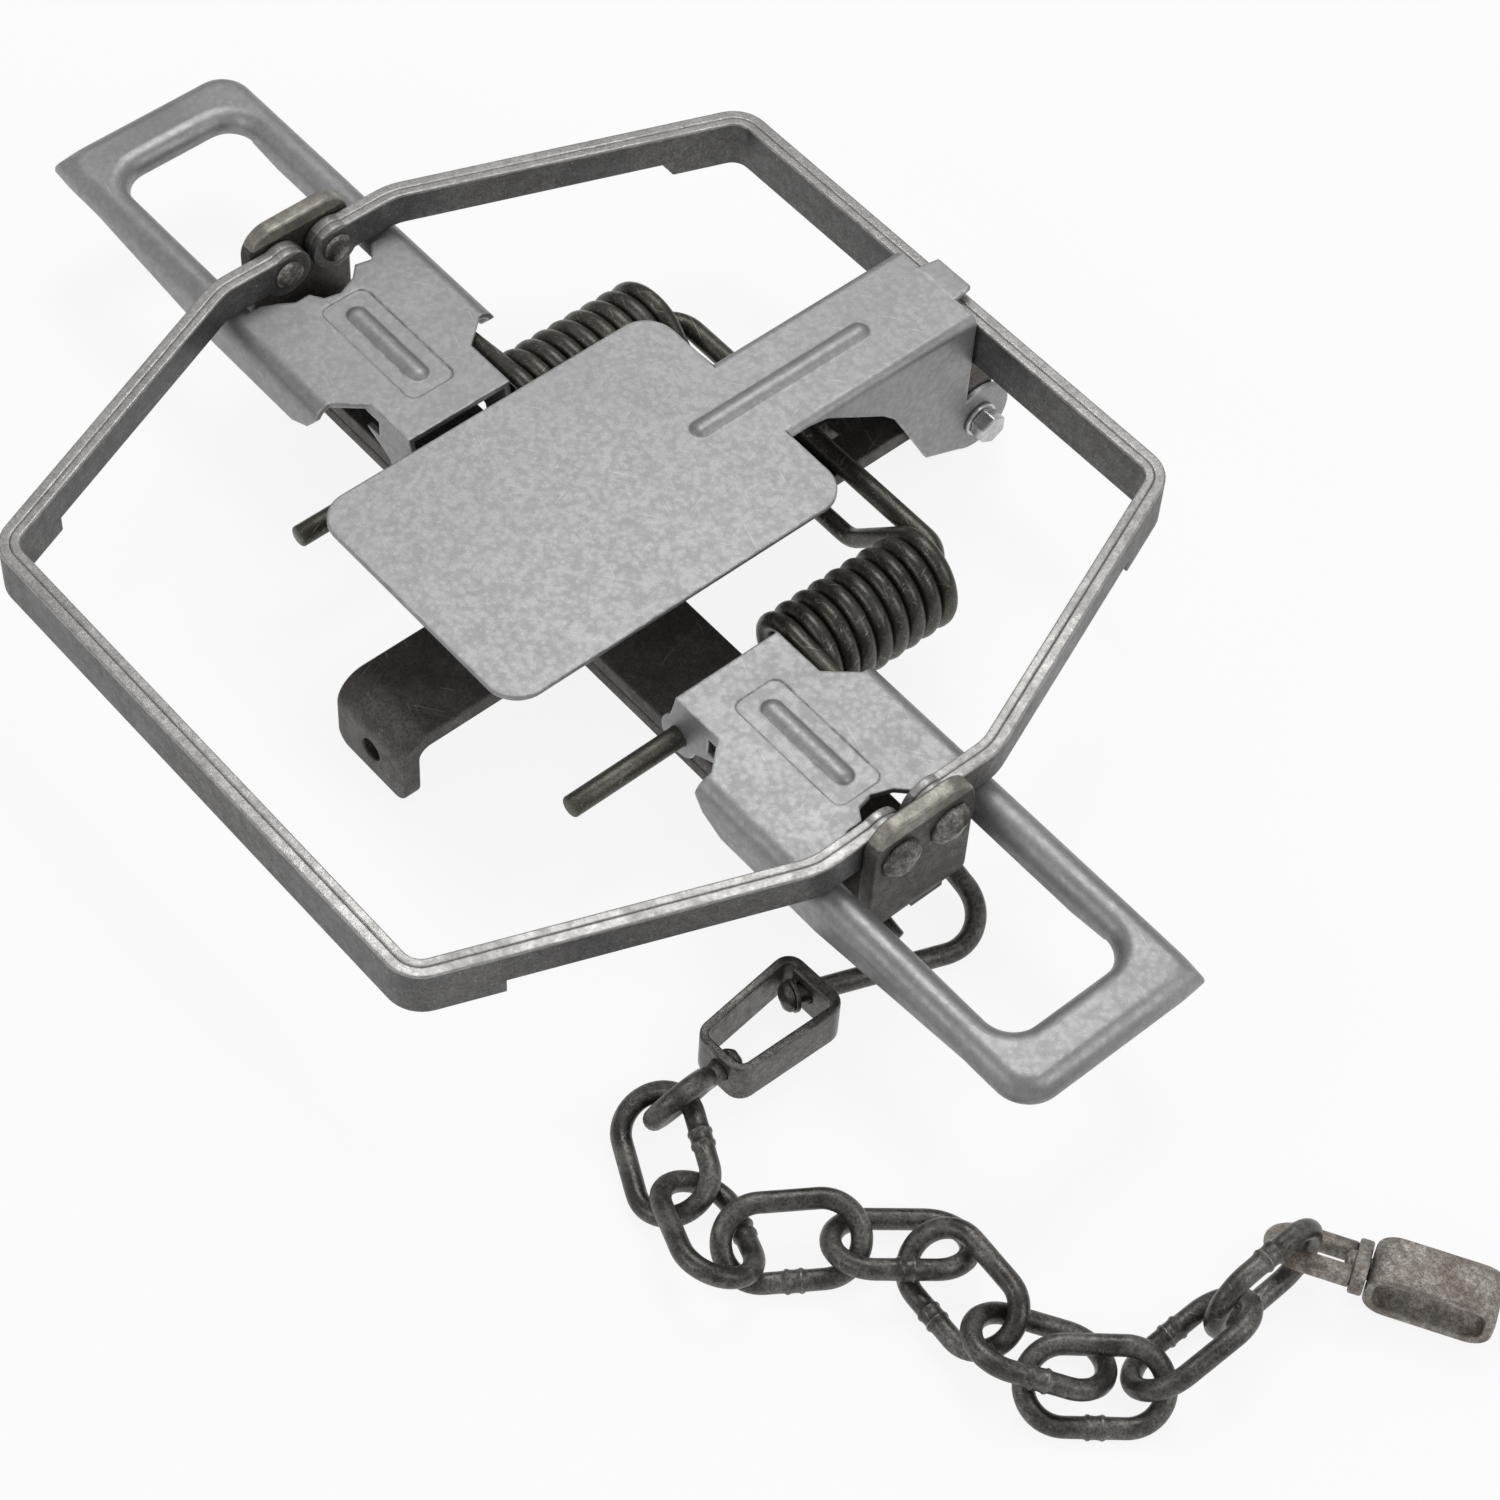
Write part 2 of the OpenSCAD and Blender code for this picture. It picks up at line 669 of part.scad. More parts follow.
module rear_jaw() {
    color(jaw_grey) jaw_strip(0, jaw_t);
}

module rear_laminate() {
    color(jaw_grey) jaw_strip(jaw_t, jaw_t + laminate_t);
}

module front_jaw() {
    color(jaw_grey) mirror([0, 1, 0]) jaw_strip(0, jaw_t);
}

module front_laminate() {
    color(jaw_grey) mirror([0, 1, 0]) jaw_strip(jaw_t, jaw_t + laminate_t);
}

// Plan of a lever's plate, with the narrow inner part and the ragged inner edge of the slot
module lever_plan() {
    polygon([[lever_start, -flange_out], [lever_start, flange_out], [wing_start - 6, flange_out],
        [wing_start, rail_y], [slot_start + 3, rail_y], [slot_start + 3, 16], [slot_start - 1, 13],
        [slot_start, 9], [slot_start - 3, 6], [slot_start - 5, 1], [slot_start - 4, -3],
        [slot_start - 1, -5], [slot_start - 1, -9], [slot_start + 1, -12], [slot_start + 3, -16],
        [slot_start + 3, -rail_y], [wing_start, -rail_y], [wing_start - 6, -flange_out]]);
}

// One half of a rail's section, drawn in (y, z) on the +Y side
module rail_section(inner) {
    difference() {
        union() {
            translate([rail_y, rail_z]) circle(rail_r);
            translate([rail_y, 0]) square([rail_r, rail_z]);
            translate([rail_y - rail_r, rail_z - 2]) square([rail_r, 2]);
        }
        translate([rail_y, rail_z]) circle(rail_r - sheet_t);
        translate([rail_y - rail_r + sheet_t, -1]) square([2 * (rail_r - sheet_t), rail_z + 1]);
        translate([inner ? rail_y : rail_y - 2 * rail_r, 0]) square([2 * rail_r, far]);
    }
}

// Side of the lever's skirts, drawn in (x, z)
module skirt_side() {
    polygon([[wing_start, far], [wing_start, rail_z + 1], [wing_start + 3, 16],
        [wing_start + 9, skirt_low], [slot_start + 9, skirt_low], [slot_end - 4, skirt_high],
        [lever_end, skirt_high], [lever_end, far]]);
}

// One half of the lever's edge from start to end
module lever_edge(from, to, inner) {
    intersection() {
        translate([(from + to) / 2, 0, 0]) along_x(to - from) rail_section(inner);
        along_y(far) skirt_side();
    }
}

// Plan of the flat plate at the lever's outer end, between the slot's rolled edge and the outer one
module tip_plan() {
    inner_half = rail_y - tip_strip;
    difference() {
        intersection() {
            translate([lever_end - rail_r - far / 2, 0])
                round_rect(far, 2 * rail_y, lever_corner_r - rail_r);
            translate([roll_end - 1, -far / 2]) square(far);
        }
        translate([slot_end + rail_r - tip_strip - far / 2, 0])
            round_rect(far, 2 * inner_half, slot_corner_r + rail_r - tip_strip);
    }
}

// Section of one rolled edge at the lever's outer end, the outer one with a strip of the plate
module tip_section(inner) {
    intersection() {
        rail_section(inner);
        translate([0, skirt_high]) square(far);
    }
    if (!inner) translate([rail_y - tip_strip, lever_under]) square([tip_strip, sheet_t]);
}

// One rolled edge round the lever's outer end, with its two corners
module tip_edge(end, half, corner_r, inner) {
    corner_y = half - corner_r;
    translate([end - half, 0, 0]) along_y(2 * corner_y) tip_section(inner);
    for (side = [0, 1]) mirror([0, side, 0]) translate([end - corner_r, corner_y, 0])
        rotate_extrude(angle = 90) translate([-corner_y, 0]) tip_section(inner);
}

// The outer end of the lever: a plate whose edges are rolled down round its outline and round the slot
module lever_tip() {
    translate([0, 0, lever_under]) linear_extrude(sheet_t) tip_plan();
    tip_edge(lever_end, wing_half, lever_corner_r, false);
    tip_edge(slot_end, rail_y - rail_r, slot_corner_r, true);
}

// Side of the ears that hang on the axle rod, drawn in (x, z)
module ear_side() {
    translate([rod_x, rod_z]) circle(5.6);
    sheet_middle = lever_under + sheet_t / 2;
    polygon([[rod_x - 4, rod_z], [lever_start, sheet_middle], [wing_start - 4, sheet_middle],
        [wing_start - 4, 15], [rod_x + 5, rod_z - 1]]);
}

module lever() {
    difference() {
        union() {
            translate([0, 0, lever_under]) linear_extrude(sheet_t) lever_plan();
            for (side = [0, 1]) mirror([0, side, 0]) {
                lever_edge(wing_start, lever_end - lever_corner_r, false);
                lever_edge(slot_start, roll_end, true);
                translate([0, flange_in + sheet_t / 2, 0]) along_y(sheet_t) ear_side();
            }
            lever_tip();
            translate([panel_x, 0, lever_top - panel_sink]) bead(panel_l - 7, bead_w, bead_h);
        }
        difference() {
            translate([panel_x, 0, lever_top - panel_sink]) linear_extrude(far)
                round_rect(panel_l, panel_w, 2.5);
            translate([panel_x, 0, lever_top - panel_sink]) bead(panel_l - 7, bead_w, bead_h);
        }
        translate([rod_x, 0, rod_z]) rotate([90, 0, 0])
            cylinder(d = rod_d + 2 * fit, h = far, center = true);
        translate([wing_start - 9, -flange_out - 1, lever_under - 7]) cube([5, sheet_t + 1.5, 5]);
    }
}

module lever_a() {
    color(sheet_grey) mirror([1, 0, 0]) lever();
}

module lever_b() {
    color(sheet_grey) lever();
}

// Side of the pan's flanges, drawn in (y, z)
module pan_side() {
    polygon([[flange_y, pan_top], [flange_y + 4, pan_top - pan_t], [flange_y + 9, pan_top - 2.3],
        [flange_y + 27, 22], [flange_y + 31, 18], [flange_y + 39, 3.5], [flange_y + 43, -4],
        [pivot_y - 5, pivot_z - 8], [pivot_y, pivot_z], [pan_rear, pivot_z + 6], [pan_rear, pan_top]]);
    translate([pivot_y, pivot_z]) circle(ear_r);
}

// What is taken off the neck's edge so that its fold is round
module pan_fold() {
    neck_y = pan_l - pan_front;
    translate([flange_x - pan_fold_r, (neck_y + pan_rear + 1) / 2, pan_top - pan_fold_r])
        along_y(pan_rear + 1 - neck_y) difference() {
            square(pan_fold_r + 1);
            circle(pan_fold_r);
        }
}

module pan() {
    color(sheet_grey) difference() {
        union() {
            translate([0, pan_l / 2 - pan_front, pan_top - pan_t]) linear_extrude(pan_t)
                round_rect(pan_w, pan_l, pan_corner_r);
            translate([-flange_x, 0, pan_top - pan_t]) cube([2 * flange_x, pan_rear, pan_t]);
            for (side = [-1, 1]) translate([side * (flange_x - pan_t / 2), 0, 0]) along_x(pan_t) pan_side();
            translate([0, rib_y, pan_top]) rotate([0, 0, 90]) bead(rib_l, rib_w, rib_h);
        }
        for (side = [0, 1]) mirror([side, 0, 0]) pan_fold();
        translate([0, pivot_y, pivot_z]) bar_x(bolt_d + 2 * fit, -flange_x - 1, flange_x + 1);
    }
}

module pan_bolt() {
    head_x = washer_x + washer_t;
    tip = 1.5;
    color(zinc) translate([0, pivot_y, pivot_z]) {
        bar_x(bolt_d, -head_x - nut_h - tip, head_x + 1);
        translate([head_x, 0, 0]) rotate([0, 90, 0])
            cylinder(d = bolt_head_w / cos(30), h = bolt_head_h, $fn = 6);
    }
}

module pan_nut() {
    color(zinc) translate([-washer_x - washer_t - nut_h, pivot_y, pivot_z]) rotate([0, 90, 0]) difference() {
        cylinder(d = bolt_head_w / cos(30), h = nut_h, $fn = 6);
        translate([0, 0, -1]) cylinder(d = bolt_d + 2 * fit, h = nut_h + 2);
    }
}

// A flat washer along X, from the given place outwards
module washer(hole, d) {
    rotate([0, 90, 0]) difference() {
        cylinder(d = d, h = washer_t);
        translate([0, 0, -1]) cylinder(d = hole + 2 * fit, h = washer_t + 2);
    }
}

module pan_washer_a() {
    color(zinc) translate([-washer_x - washer_t, pivot_y, pivot_z]) washer(bolt_d, washer_d);
}

module pan_washer_b() {
    color(zinc) translate([washer_x, pivot_y, pivot_z]) washer(bolt_d, washer_d);
}

// The ring's own frame: its bar along Y, its plane sloping down towards +X
module in_ring() {
    translate([ring_x, ring_y, ring_z]) rotate([0, ring_slope, 0]) children();
}

// The shank's frame: X runs along the shank away from the ring
module on_shank() {
    in_ring() translate([ring_reach, 0, 0]) rotate([0, 0, -shank_turn]) translate([ring_r, 0, 0])
        rotate([0, 0, -90]) children();
}

// Points on an arc round a middle, from one angle to another
function arc_points(middle, r, from, to, n) = [for (k = [0:n]) let (a = from + (to - from) * k / n)
    [middle[0] + r * cos(a), middle[1] + r * sin(a), 0]];

// The ring's centre line in its own plane, from the cut end round the bar and on into the shank
ring_bend_steps = 4;
ring_round_steps = 12;
ring_sides = 16;
shank_start = [ring_reach + ring_r * cos(shank_turn), -ring_r * sin(shank_turn), 0];
shank_way = [-sin(shank_turn), -cos(shank_turn), 0];
ring_route = concat(
    arc_points([ring_reach, 0], ring_r, ring_close_turn - 90, -90, 1),
    arc_points([ring_corner_r, ring_corner_r - ring_r], ring_corner_r, -90, -180, ring_bend_steps),
    arc_points([ring_corner_r, ring_r - ring_corner_r], ring_corner_r, 180, 90, ring_bend_steps),
    arc_points([ring_reach, 0], ring_r, 90, -shank_turn, ring_round_steps),
    [shank_start + (shank_l - swivel_head_h / 2) * shank_way]);

module ring_eye() {
    color(chain_grey) {
        in_ring() tube(ring_route, ring_wire, ring_sides, [0, 0, 1]);
        on_shank() bar_x(swivel_head_d, shank_l - swivel_head_h, shank_l);
    }
}

module swivel_washer() {
    color(chain_grey) on_shank() translate([shank_l - swivel_head_h - washer_t, 0, 0])
        washer(ring_wire, swivel_washer_d);
}

// A closed band seen along its opening: half widths at both ends and a length along +X
module band_plan(near, far_half, l, r, t) {
    points = [[0, -near], [l, -far_half], [l, far_half], [0, near]];
    path = [for (i = [0:3]) for (p = corner(points[(i + 3) % 4], points[i], points[(i + 1) % 4], r, 6)) p];
    difference() {
        polygon(moved(path, 0));
        polygon(moved(path, t));
    }
}

module swivel_box() {
    color(chain_grey) difference() {
        laid(box_at, box_turn) translate([0, 0, -band_h / 2]) {
            linear_extrude(band_h) band_plan(box_near, box_far, box_l, box_corner_r, band_t);
            translate([band_t - lap_in, -lap_half, 0])
                cube([lap_t + lap_in, lap_half + box_near - band_t, band_h]);
        }
        on_shank() bar_x(ring_wire + 2 * fit, shank_bore_from, shank_l - 2);
        laid(hook_at, hook_turn) bar_x(hook_wire + 2 * fit, -hook_wall - 3, -hook_r);
    }
}

module hook_eye() {
    color(chain_grey) laid(hook_at, hook_turn) {
        wire_bend(hook_r, hook_wire, 0, 360);
        bar_x(hook_wire, -hook_wall - swivel_head_h / 2 - 1, -hook_r);
        bar_x(rivet_head_d, -hook_wall - swivel_head_h, -hook_wall);
    }
}

module chain_link(i) {
    p = links[i];
    straight = link_l - link_w;
    color(chain_grey) laid([p[0], p[1], ground + p[2]], [p[3], p[4], p[5]]) {
        for (side = [0, 1]) mirror([side, 0, 0]) translate([straight / 2, 0, 0])
            wire_bend(link_w / 2, link_wire, -90, 180);
        for (side = [-1, 1]) translate([0, side * link_w / 2, 0])
            bar_x(link_wire, -straight / 2, straight / 2);
        translate([0, p[6] * link_w / 2, 0]) bar_x(weld_d, -weld_l / 2, weld_l / 2);
    }
}

module end_eye() {
    color(rusty) laid(end_at, end_turn) {
        wire_bend(end_r, end_wire, 90, 180);
        for (side = [-1, 1]) translate([0, side * end_r, 0]) bar_x(end_wire, 0, end_arm);
    }
}

module end_plate() {
    color(rusty) laid(end_at, end_turn) difference() {
        translate([end_arm + plate_t / 2, 0, 0]) along_x(plate_t) round_rect(plate_w, plate_h, 3.2);
        bar_x(end_rivet_d + 2 * fit, 0, far);
    }
}

module end_rivet() {
    head_start = end_box_start + end_band_t + end_head_gap;
    color(rusty) laid(end_at, end_flat_turn) {
        bar_x(end_rivet_d, end_arm - 1, head_start + swivel_head_h / 2);
        bar_x(rivet_head_d, end_arm - end_washer_t, end_arm);
        bar_x(rivet_head_d, head_start, head_start + swivel_head_h);
    }
}

module end_swivel_box() {
    color(rusty) laid(end_at, end_flat_turn) difference() {
        translate([end_box_start, 0, 0]) along_y(end_band_w)
            band_plan(end_box_h / 2, end_box_h / 2, end_box_l, end_corner_r, end_band_t);
        bar_x(end_rivet_d + 2 * fit, 0, end_box_start + end_band_t + 2);
        bar_x(end_hole_d, end_box_start + end_box_l - end_band_t - 2, far);
    }
}

frame_base();
doubler_a();
doubler_b();
cross_strip();
pan_bracket();
ring_clip();
pin_a_front();
pin_a_rear();
pin_b_front();
pin_b_rear();
axle_rod();
spring_a();
spring_b();
front_jaw();
front_laminate();
rear_jaw();
rear_laminate();
lever_a();
lever_b();
pan();
pan_bolt();
pan_nut();
pan_washer_a();
pan_washer_b();
ring_eye();
swivel_washer();
swivel_box();
hook_eye();
chain_link(0);  // chain_link_1
chain_link(1);  // chain_link_2
chain_link(2);  // chain_link_3
chain_link(3);  // chain_link_4
chain_link(4);  // chain_link_5
chain_link(5);  // chain_link_6
chain_link(6);  // chain_link_7
chain_link(7);  // chain_link_8
chain_link(8);  // chain_link_9
end_eye();
end_plate();
end_rivet();
end_swivel_box();
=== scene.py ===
"""Dressed model of an open foothold trap with a square pan, slotted levers and a swivelled chain.

Every piece is made in millimetres in the row's own frame and brought to metres when it is finished. +X runs from
hinge post A to hinge post B, +Y from the bent tab to the pan's pivot, and +Z up from the base strip's underside.
"""
import json
import logging
import math
from dataclasses import dataclass, field
from enum import Enum
from typing import Sequence

import bmesh
import bpy
from mathutils import Matrix, Vector, noise


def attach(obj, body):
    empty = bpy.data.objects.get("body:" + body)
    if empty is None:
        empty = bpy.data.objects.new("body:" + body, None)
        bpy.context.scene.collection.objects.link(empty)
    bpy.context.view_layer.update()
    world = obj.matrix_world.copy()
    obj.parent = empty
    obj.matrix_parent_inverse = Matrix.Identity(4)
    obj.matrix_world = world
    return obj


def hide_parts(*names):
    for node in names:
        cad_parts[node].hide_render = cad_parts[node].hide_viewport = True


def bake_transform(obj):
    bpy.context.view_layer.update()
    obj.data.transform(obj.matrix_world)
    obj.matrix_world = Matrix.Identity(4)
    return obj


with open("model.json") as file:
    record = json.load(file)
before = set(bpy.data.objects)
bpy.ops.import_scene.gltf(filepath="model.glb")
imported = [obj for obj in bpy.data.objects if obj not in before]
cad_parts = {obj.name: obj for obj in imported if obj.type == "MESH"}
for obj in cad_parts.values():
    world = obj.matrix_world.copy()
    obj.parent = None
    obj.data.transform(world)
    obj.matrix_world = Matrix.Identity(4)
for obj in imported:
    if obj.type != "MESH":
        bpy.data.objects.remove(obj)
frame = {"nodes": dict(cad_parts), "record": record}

logging.basicConfig(level=logging.INFO, format="%(message)s")
log = logging.getLogger("trap")

MM = 0.001  # metres in a millimetre
GROUND = -12.0  # height of the ground; this and the next four are in millimetres
ROD_X = 48.0  # distance of the axle rod's arms from the middle
ROD_Z = 11.15  # height of the axle rod
NEAR = 0.02  # closer places count as the same
MERGE = 0.002  # closer corners are joined
FLAT = math.radians(0.6)  # faces that differ by less are one flat face
BROKEN = math.radians(40.0)  # edges that turn by more are broken
WEAR_SCALE = 260.0  # scale of the gaps in worn corners
# Scratches: their turn in degrees, their scale along and their scale across
SCUFF_WAYS = ((18.0, 60.0, 2200.0), (-37.0, 80.0, 2800.0), (71.0, 50.0, 2400.0))
WHITE = (1.0, 1.0, 1.0, 1.0)
Colour = tuple[float, float, float, float]
Point = Sequence[float]
Pair = tuple[float, float]
Triple = tuple[float, float, float]
Socket = bpy.types.NodeSocket
Mesh = bmesh.types.BMesh


def srgb(*channels: float) -> Colour:
    """Turns a colour seen on screen, its channels from 0 to 255, into the linear colour that a shader takes."""
    shares = (channel / 255 for channel in channels)
    return (*(s / 12.92 if s <= 0.04045 else ((s + 0.055) / 1.055) ** 2.4 for s in shares), 1.0)


def laid(at: Point, yaw: float = 0.0, rise: float = 0.0, roll: float = 0.0) -> Matrix:
    """Returns the matrix that rolls, raises and turns a piece by degrees and moves it, as the CAD does."""
    turn = Matrix.Rotation(math.radians(yaw), 4, "Z") @ Matrix.Rotation(math.radians(-rise), 4, "Y")
    return Matrix.Translation(Vector(at)) @ turn @ Matrix.Rotation(math.radians(roll), 4, "X")


class Kind(Enum):
    """The trap's finishes, named as the record's material slots, with one more for the hammered rivets."""

    DARK_IRON = "dark_iron"
    JAW_STEEL = "jaw_steel"
    LEVER_SHEET = "lever_sheet"
    SPRING_WIRE = "spring_wire"
    CHAIN_WIRE = "chain_wire"
    RIVET_STEEL = "rivet_steel"
    END_IRON = "end_iron"
    ZINC_STEEL = "zinc_steel"

    @property
    def slot(self) -> str:
        """The record's slot of this finish."""
        return "chain_wire" if self is Kind.RIVET_STEEL else self.value


@dataclass
class NodeBoard:
    """A node tree with short calls that add and join its nodes.

    Attributes:
        tree: The node tree to work on.
    """

    tree: bpy.types.NodeTree

    @classmethod
    def emptied(cls, owner: bpy.types.ID) -> "NodeBoard":
        """Empties the node tree of a material or a world.

        Args:
            owner: The material or the world.

        Returns:
            A board on that tree.
        """
        owner.use_nodes = True
        owner.node_tree.nodes.clear()
        return cls(owner.node_tree)

    def add(self, kind: str, inputs: dict | None = None, **settings: object) -> bpy.types.Node:
        """Adds a node.

        Args:
            kind: The node's type, without the word ShaderNode.
            inputs: Values or sockets for its inputs, by name or number.
            **settings: Properties of the node.

        Returns:
            The new node.
        """
        node = self.tree.nodes.new("ShaderNode" + kind)
        for name, value in settings.items():
            setattr(node, name, value)
        for key, value in (inputs or {}).items():
            if isinstance(value, Socket):
                self.tree.links.new(value, node.inputs[key])
            else:
                node.inputs[key].default_value = value
        return node

    def give(self, node: bpy.types.Node, **sockets: Socket) -> None:
        """Joins sockets to the inputs of a node that have their names."""
        for name, socket in sockets.items():
            self.tree.links.new(socket, node.inputs[name])

    def math(self, operation: str, first: object, second: object, clamp: bool = False) -> Socket:
        """Returns a math node's output for two values or sockets, between 0 and 1 where it is clamped."""
        return self.add("Math", {0: first, 1: second}, operation=operation, use_clamp=clamp).outputs[0]

    def step(self, value: object, low: float, high: float, top: float = 1.0) -> Socket:
        """Returns a soft step of a value, from 0 at low to top at high."""
        node = self.add("MapRange", {"Value": value, "From Min": low, "From Max": high, "To Min": 0.0, "To Max": top},
                        interpolation_type="SMOOTHSTEP")
        return node.outputs["Result"]

    def blend(self, share: object, first: object, second: object) -> Socket:
        """Returns the mix of two colours, with this share of the second."""
        return self.add("Mix", {0: share, 6: first, 7: second}, data_type="RGBA").outputs[2]

    def noise(self, vector: object, scale: object, detail: float, rough: float) -> Socket:
        """Returns the value of a noise texture that is read at a vector."""
        node = self.add("TexNoise", {"Vector": vector, "Scale": scale, "Detail": detail, "Roughness": rough})
        return node.outputs[0]


def effect_group(name: str, inputs: Sequence[str], outputs: Sequence[str]) -> tuple:
    """Starts a shader node group that several finishes share.

    Args:
        name: The group's name.
        inputs: Names of its inputs.
        outputs: Names of its outputs.

    Returns:
        The board to build on, the group's given sockets and its output node.
    """
    tree = bpy.data.node_groups.new(name, "ShaderNodeTree")
    for way, labels in (("INPUT", inputs), ("OUTPUT", outputs)):
        for label in labels:
            kind = "NodeSocketVector" if label in ("Vector", "Normal") else "NodeSocketFloat"
            tree.interface.new_socket(label, in_out=way, socket_type=kind)
    return NodeBoard(tree), tree.nodes.new("NodeGroupInput").outputs, tree.nodes.new("NodeGroupOutput")


class Effects:
    """The node groups that the finishes place with their own values."""

    def __init__(self) -> None:
        """Builds every group once."""
        self.worn_edge = self._worn_edge()
        self.grain = self._grain()
        self.scuffs = self._scuffs()
        self.pits = self._pits()

    def _worn_edge(self) -> bpy.types.NodeTree:
        """Builds the group that finds corners, rounds their shading and breaks their wear up.

        Returns:
            The node group.
        """
        board, given, out = effect_group("worn_edge", ("Vector", "Radius", "Scale"), ("Mask", "Normal"))
        rounded = board.add("Bevel", {"Radius": given["Radius"]}, samples=6).outputs[0]
        plain = board.add("NewGeometry").outputs["Normal"]
        match = board.add("VectorMath", {0: rounded, 1: plain}, operation="DOT_PRODUCT")
        corner = board.step(board.math("SUBTRACT", 1.0, match.outputs["Value"]), 0.008, 0.09)
        breakup = board.step(board.noise(given["Vector"], given["Scale"], 5.0, 0.65), 0.36, 0.62)
        board.give(out, Mask=board.math("MULTIPLY", corner, breakup), Normal=rounded)
        return board.tree

    def _grain(self) -> bpy.types.NodeTree:
        """Builds the group for the fine mottle of rolled and tumbled steel.

        Returns:
            The node group.
        """
        board, given, out = effect_group("steel_grain", ("Vector", "Scale"), ("Tone", "Height"))
        fine = board.noise(given["Vector"], given["Scale"], 6.0, 0.7)
        finer = board.math("MULTIPLY", given["Scale"], 1.6)
        speck = board.add("TexVoronoi", {"Vector": given["Vector"], "Scale": finer})
        cells = board.step(speck.outputs["Distance"], 0.05, 0.75)
        tone = board.math("ADD", board.math("MULTIPLY", fine, 0.7), board.math("MULTIPLY", cells, 0.3))
        board.give(out, Tone=board.step(tone, 0.25, 0.75), Height=fine)
        return board.tree

    def _scuffs(self) -> bpy.types.NodeTree:
        """Builds the group for thin scratches in three directions.

        Returns:
            The node group.
        """
        board, given, out = effect_group("thin_scuffs", ("Vector", "Density"), ("Mask",))
        edge = board.math("SUBTRACT", 0.74, board.math("MULTIPLY", given["Density"], 0.1))
        total = 0.0
        for turn, along, across in SCUFF_WAYS:
            place = given["Vector"]
            for setting in ({"Rotation": (0.0, 0.0, math.radians(turn))}, {"Scale": (along, across, across * 0.4)}):
                place = board.add("Mapping", {"Vector": place, **setting}).outputs[0]
            above = board.math("SUBTRACT", board.noise(place, 1.0, 2.0, 0.5), edge)
            total = board.math("MAXIMUM", total, board.math("MULTIPLY", above, 14.0, clamp=True))
        board.give(out, Mask=total)
        return board.tree

    def _pits(self) -> bpy.types.NodeTree:
        """Builds the group for small corroded pits and crusts.

        Returns:
            The node group.
        """
        board, given, out = effect_group("rust_pits", ("Vector", "Scale"), ("Mask", "Height"))
        cell = board.add("TexVoronoi", {"Vector": given["Vector"], "Scale": given["Scale"], "Randomness": 1.0},
                         feature="SMOOTH_F1")
        cloud = board.noise(given["Vector"], board.math("MULTIPLY", given["Scale"], 0.35), 6.0, 0.7)
        mixed = board.math("ADD", board.math("MULTIPLY", cell.outputs["Distance"], 0.6), cloud)
        board.give(out, Mask=board.step(mixed, 0.55, 0.95), Height=mixed)
        return board.tree


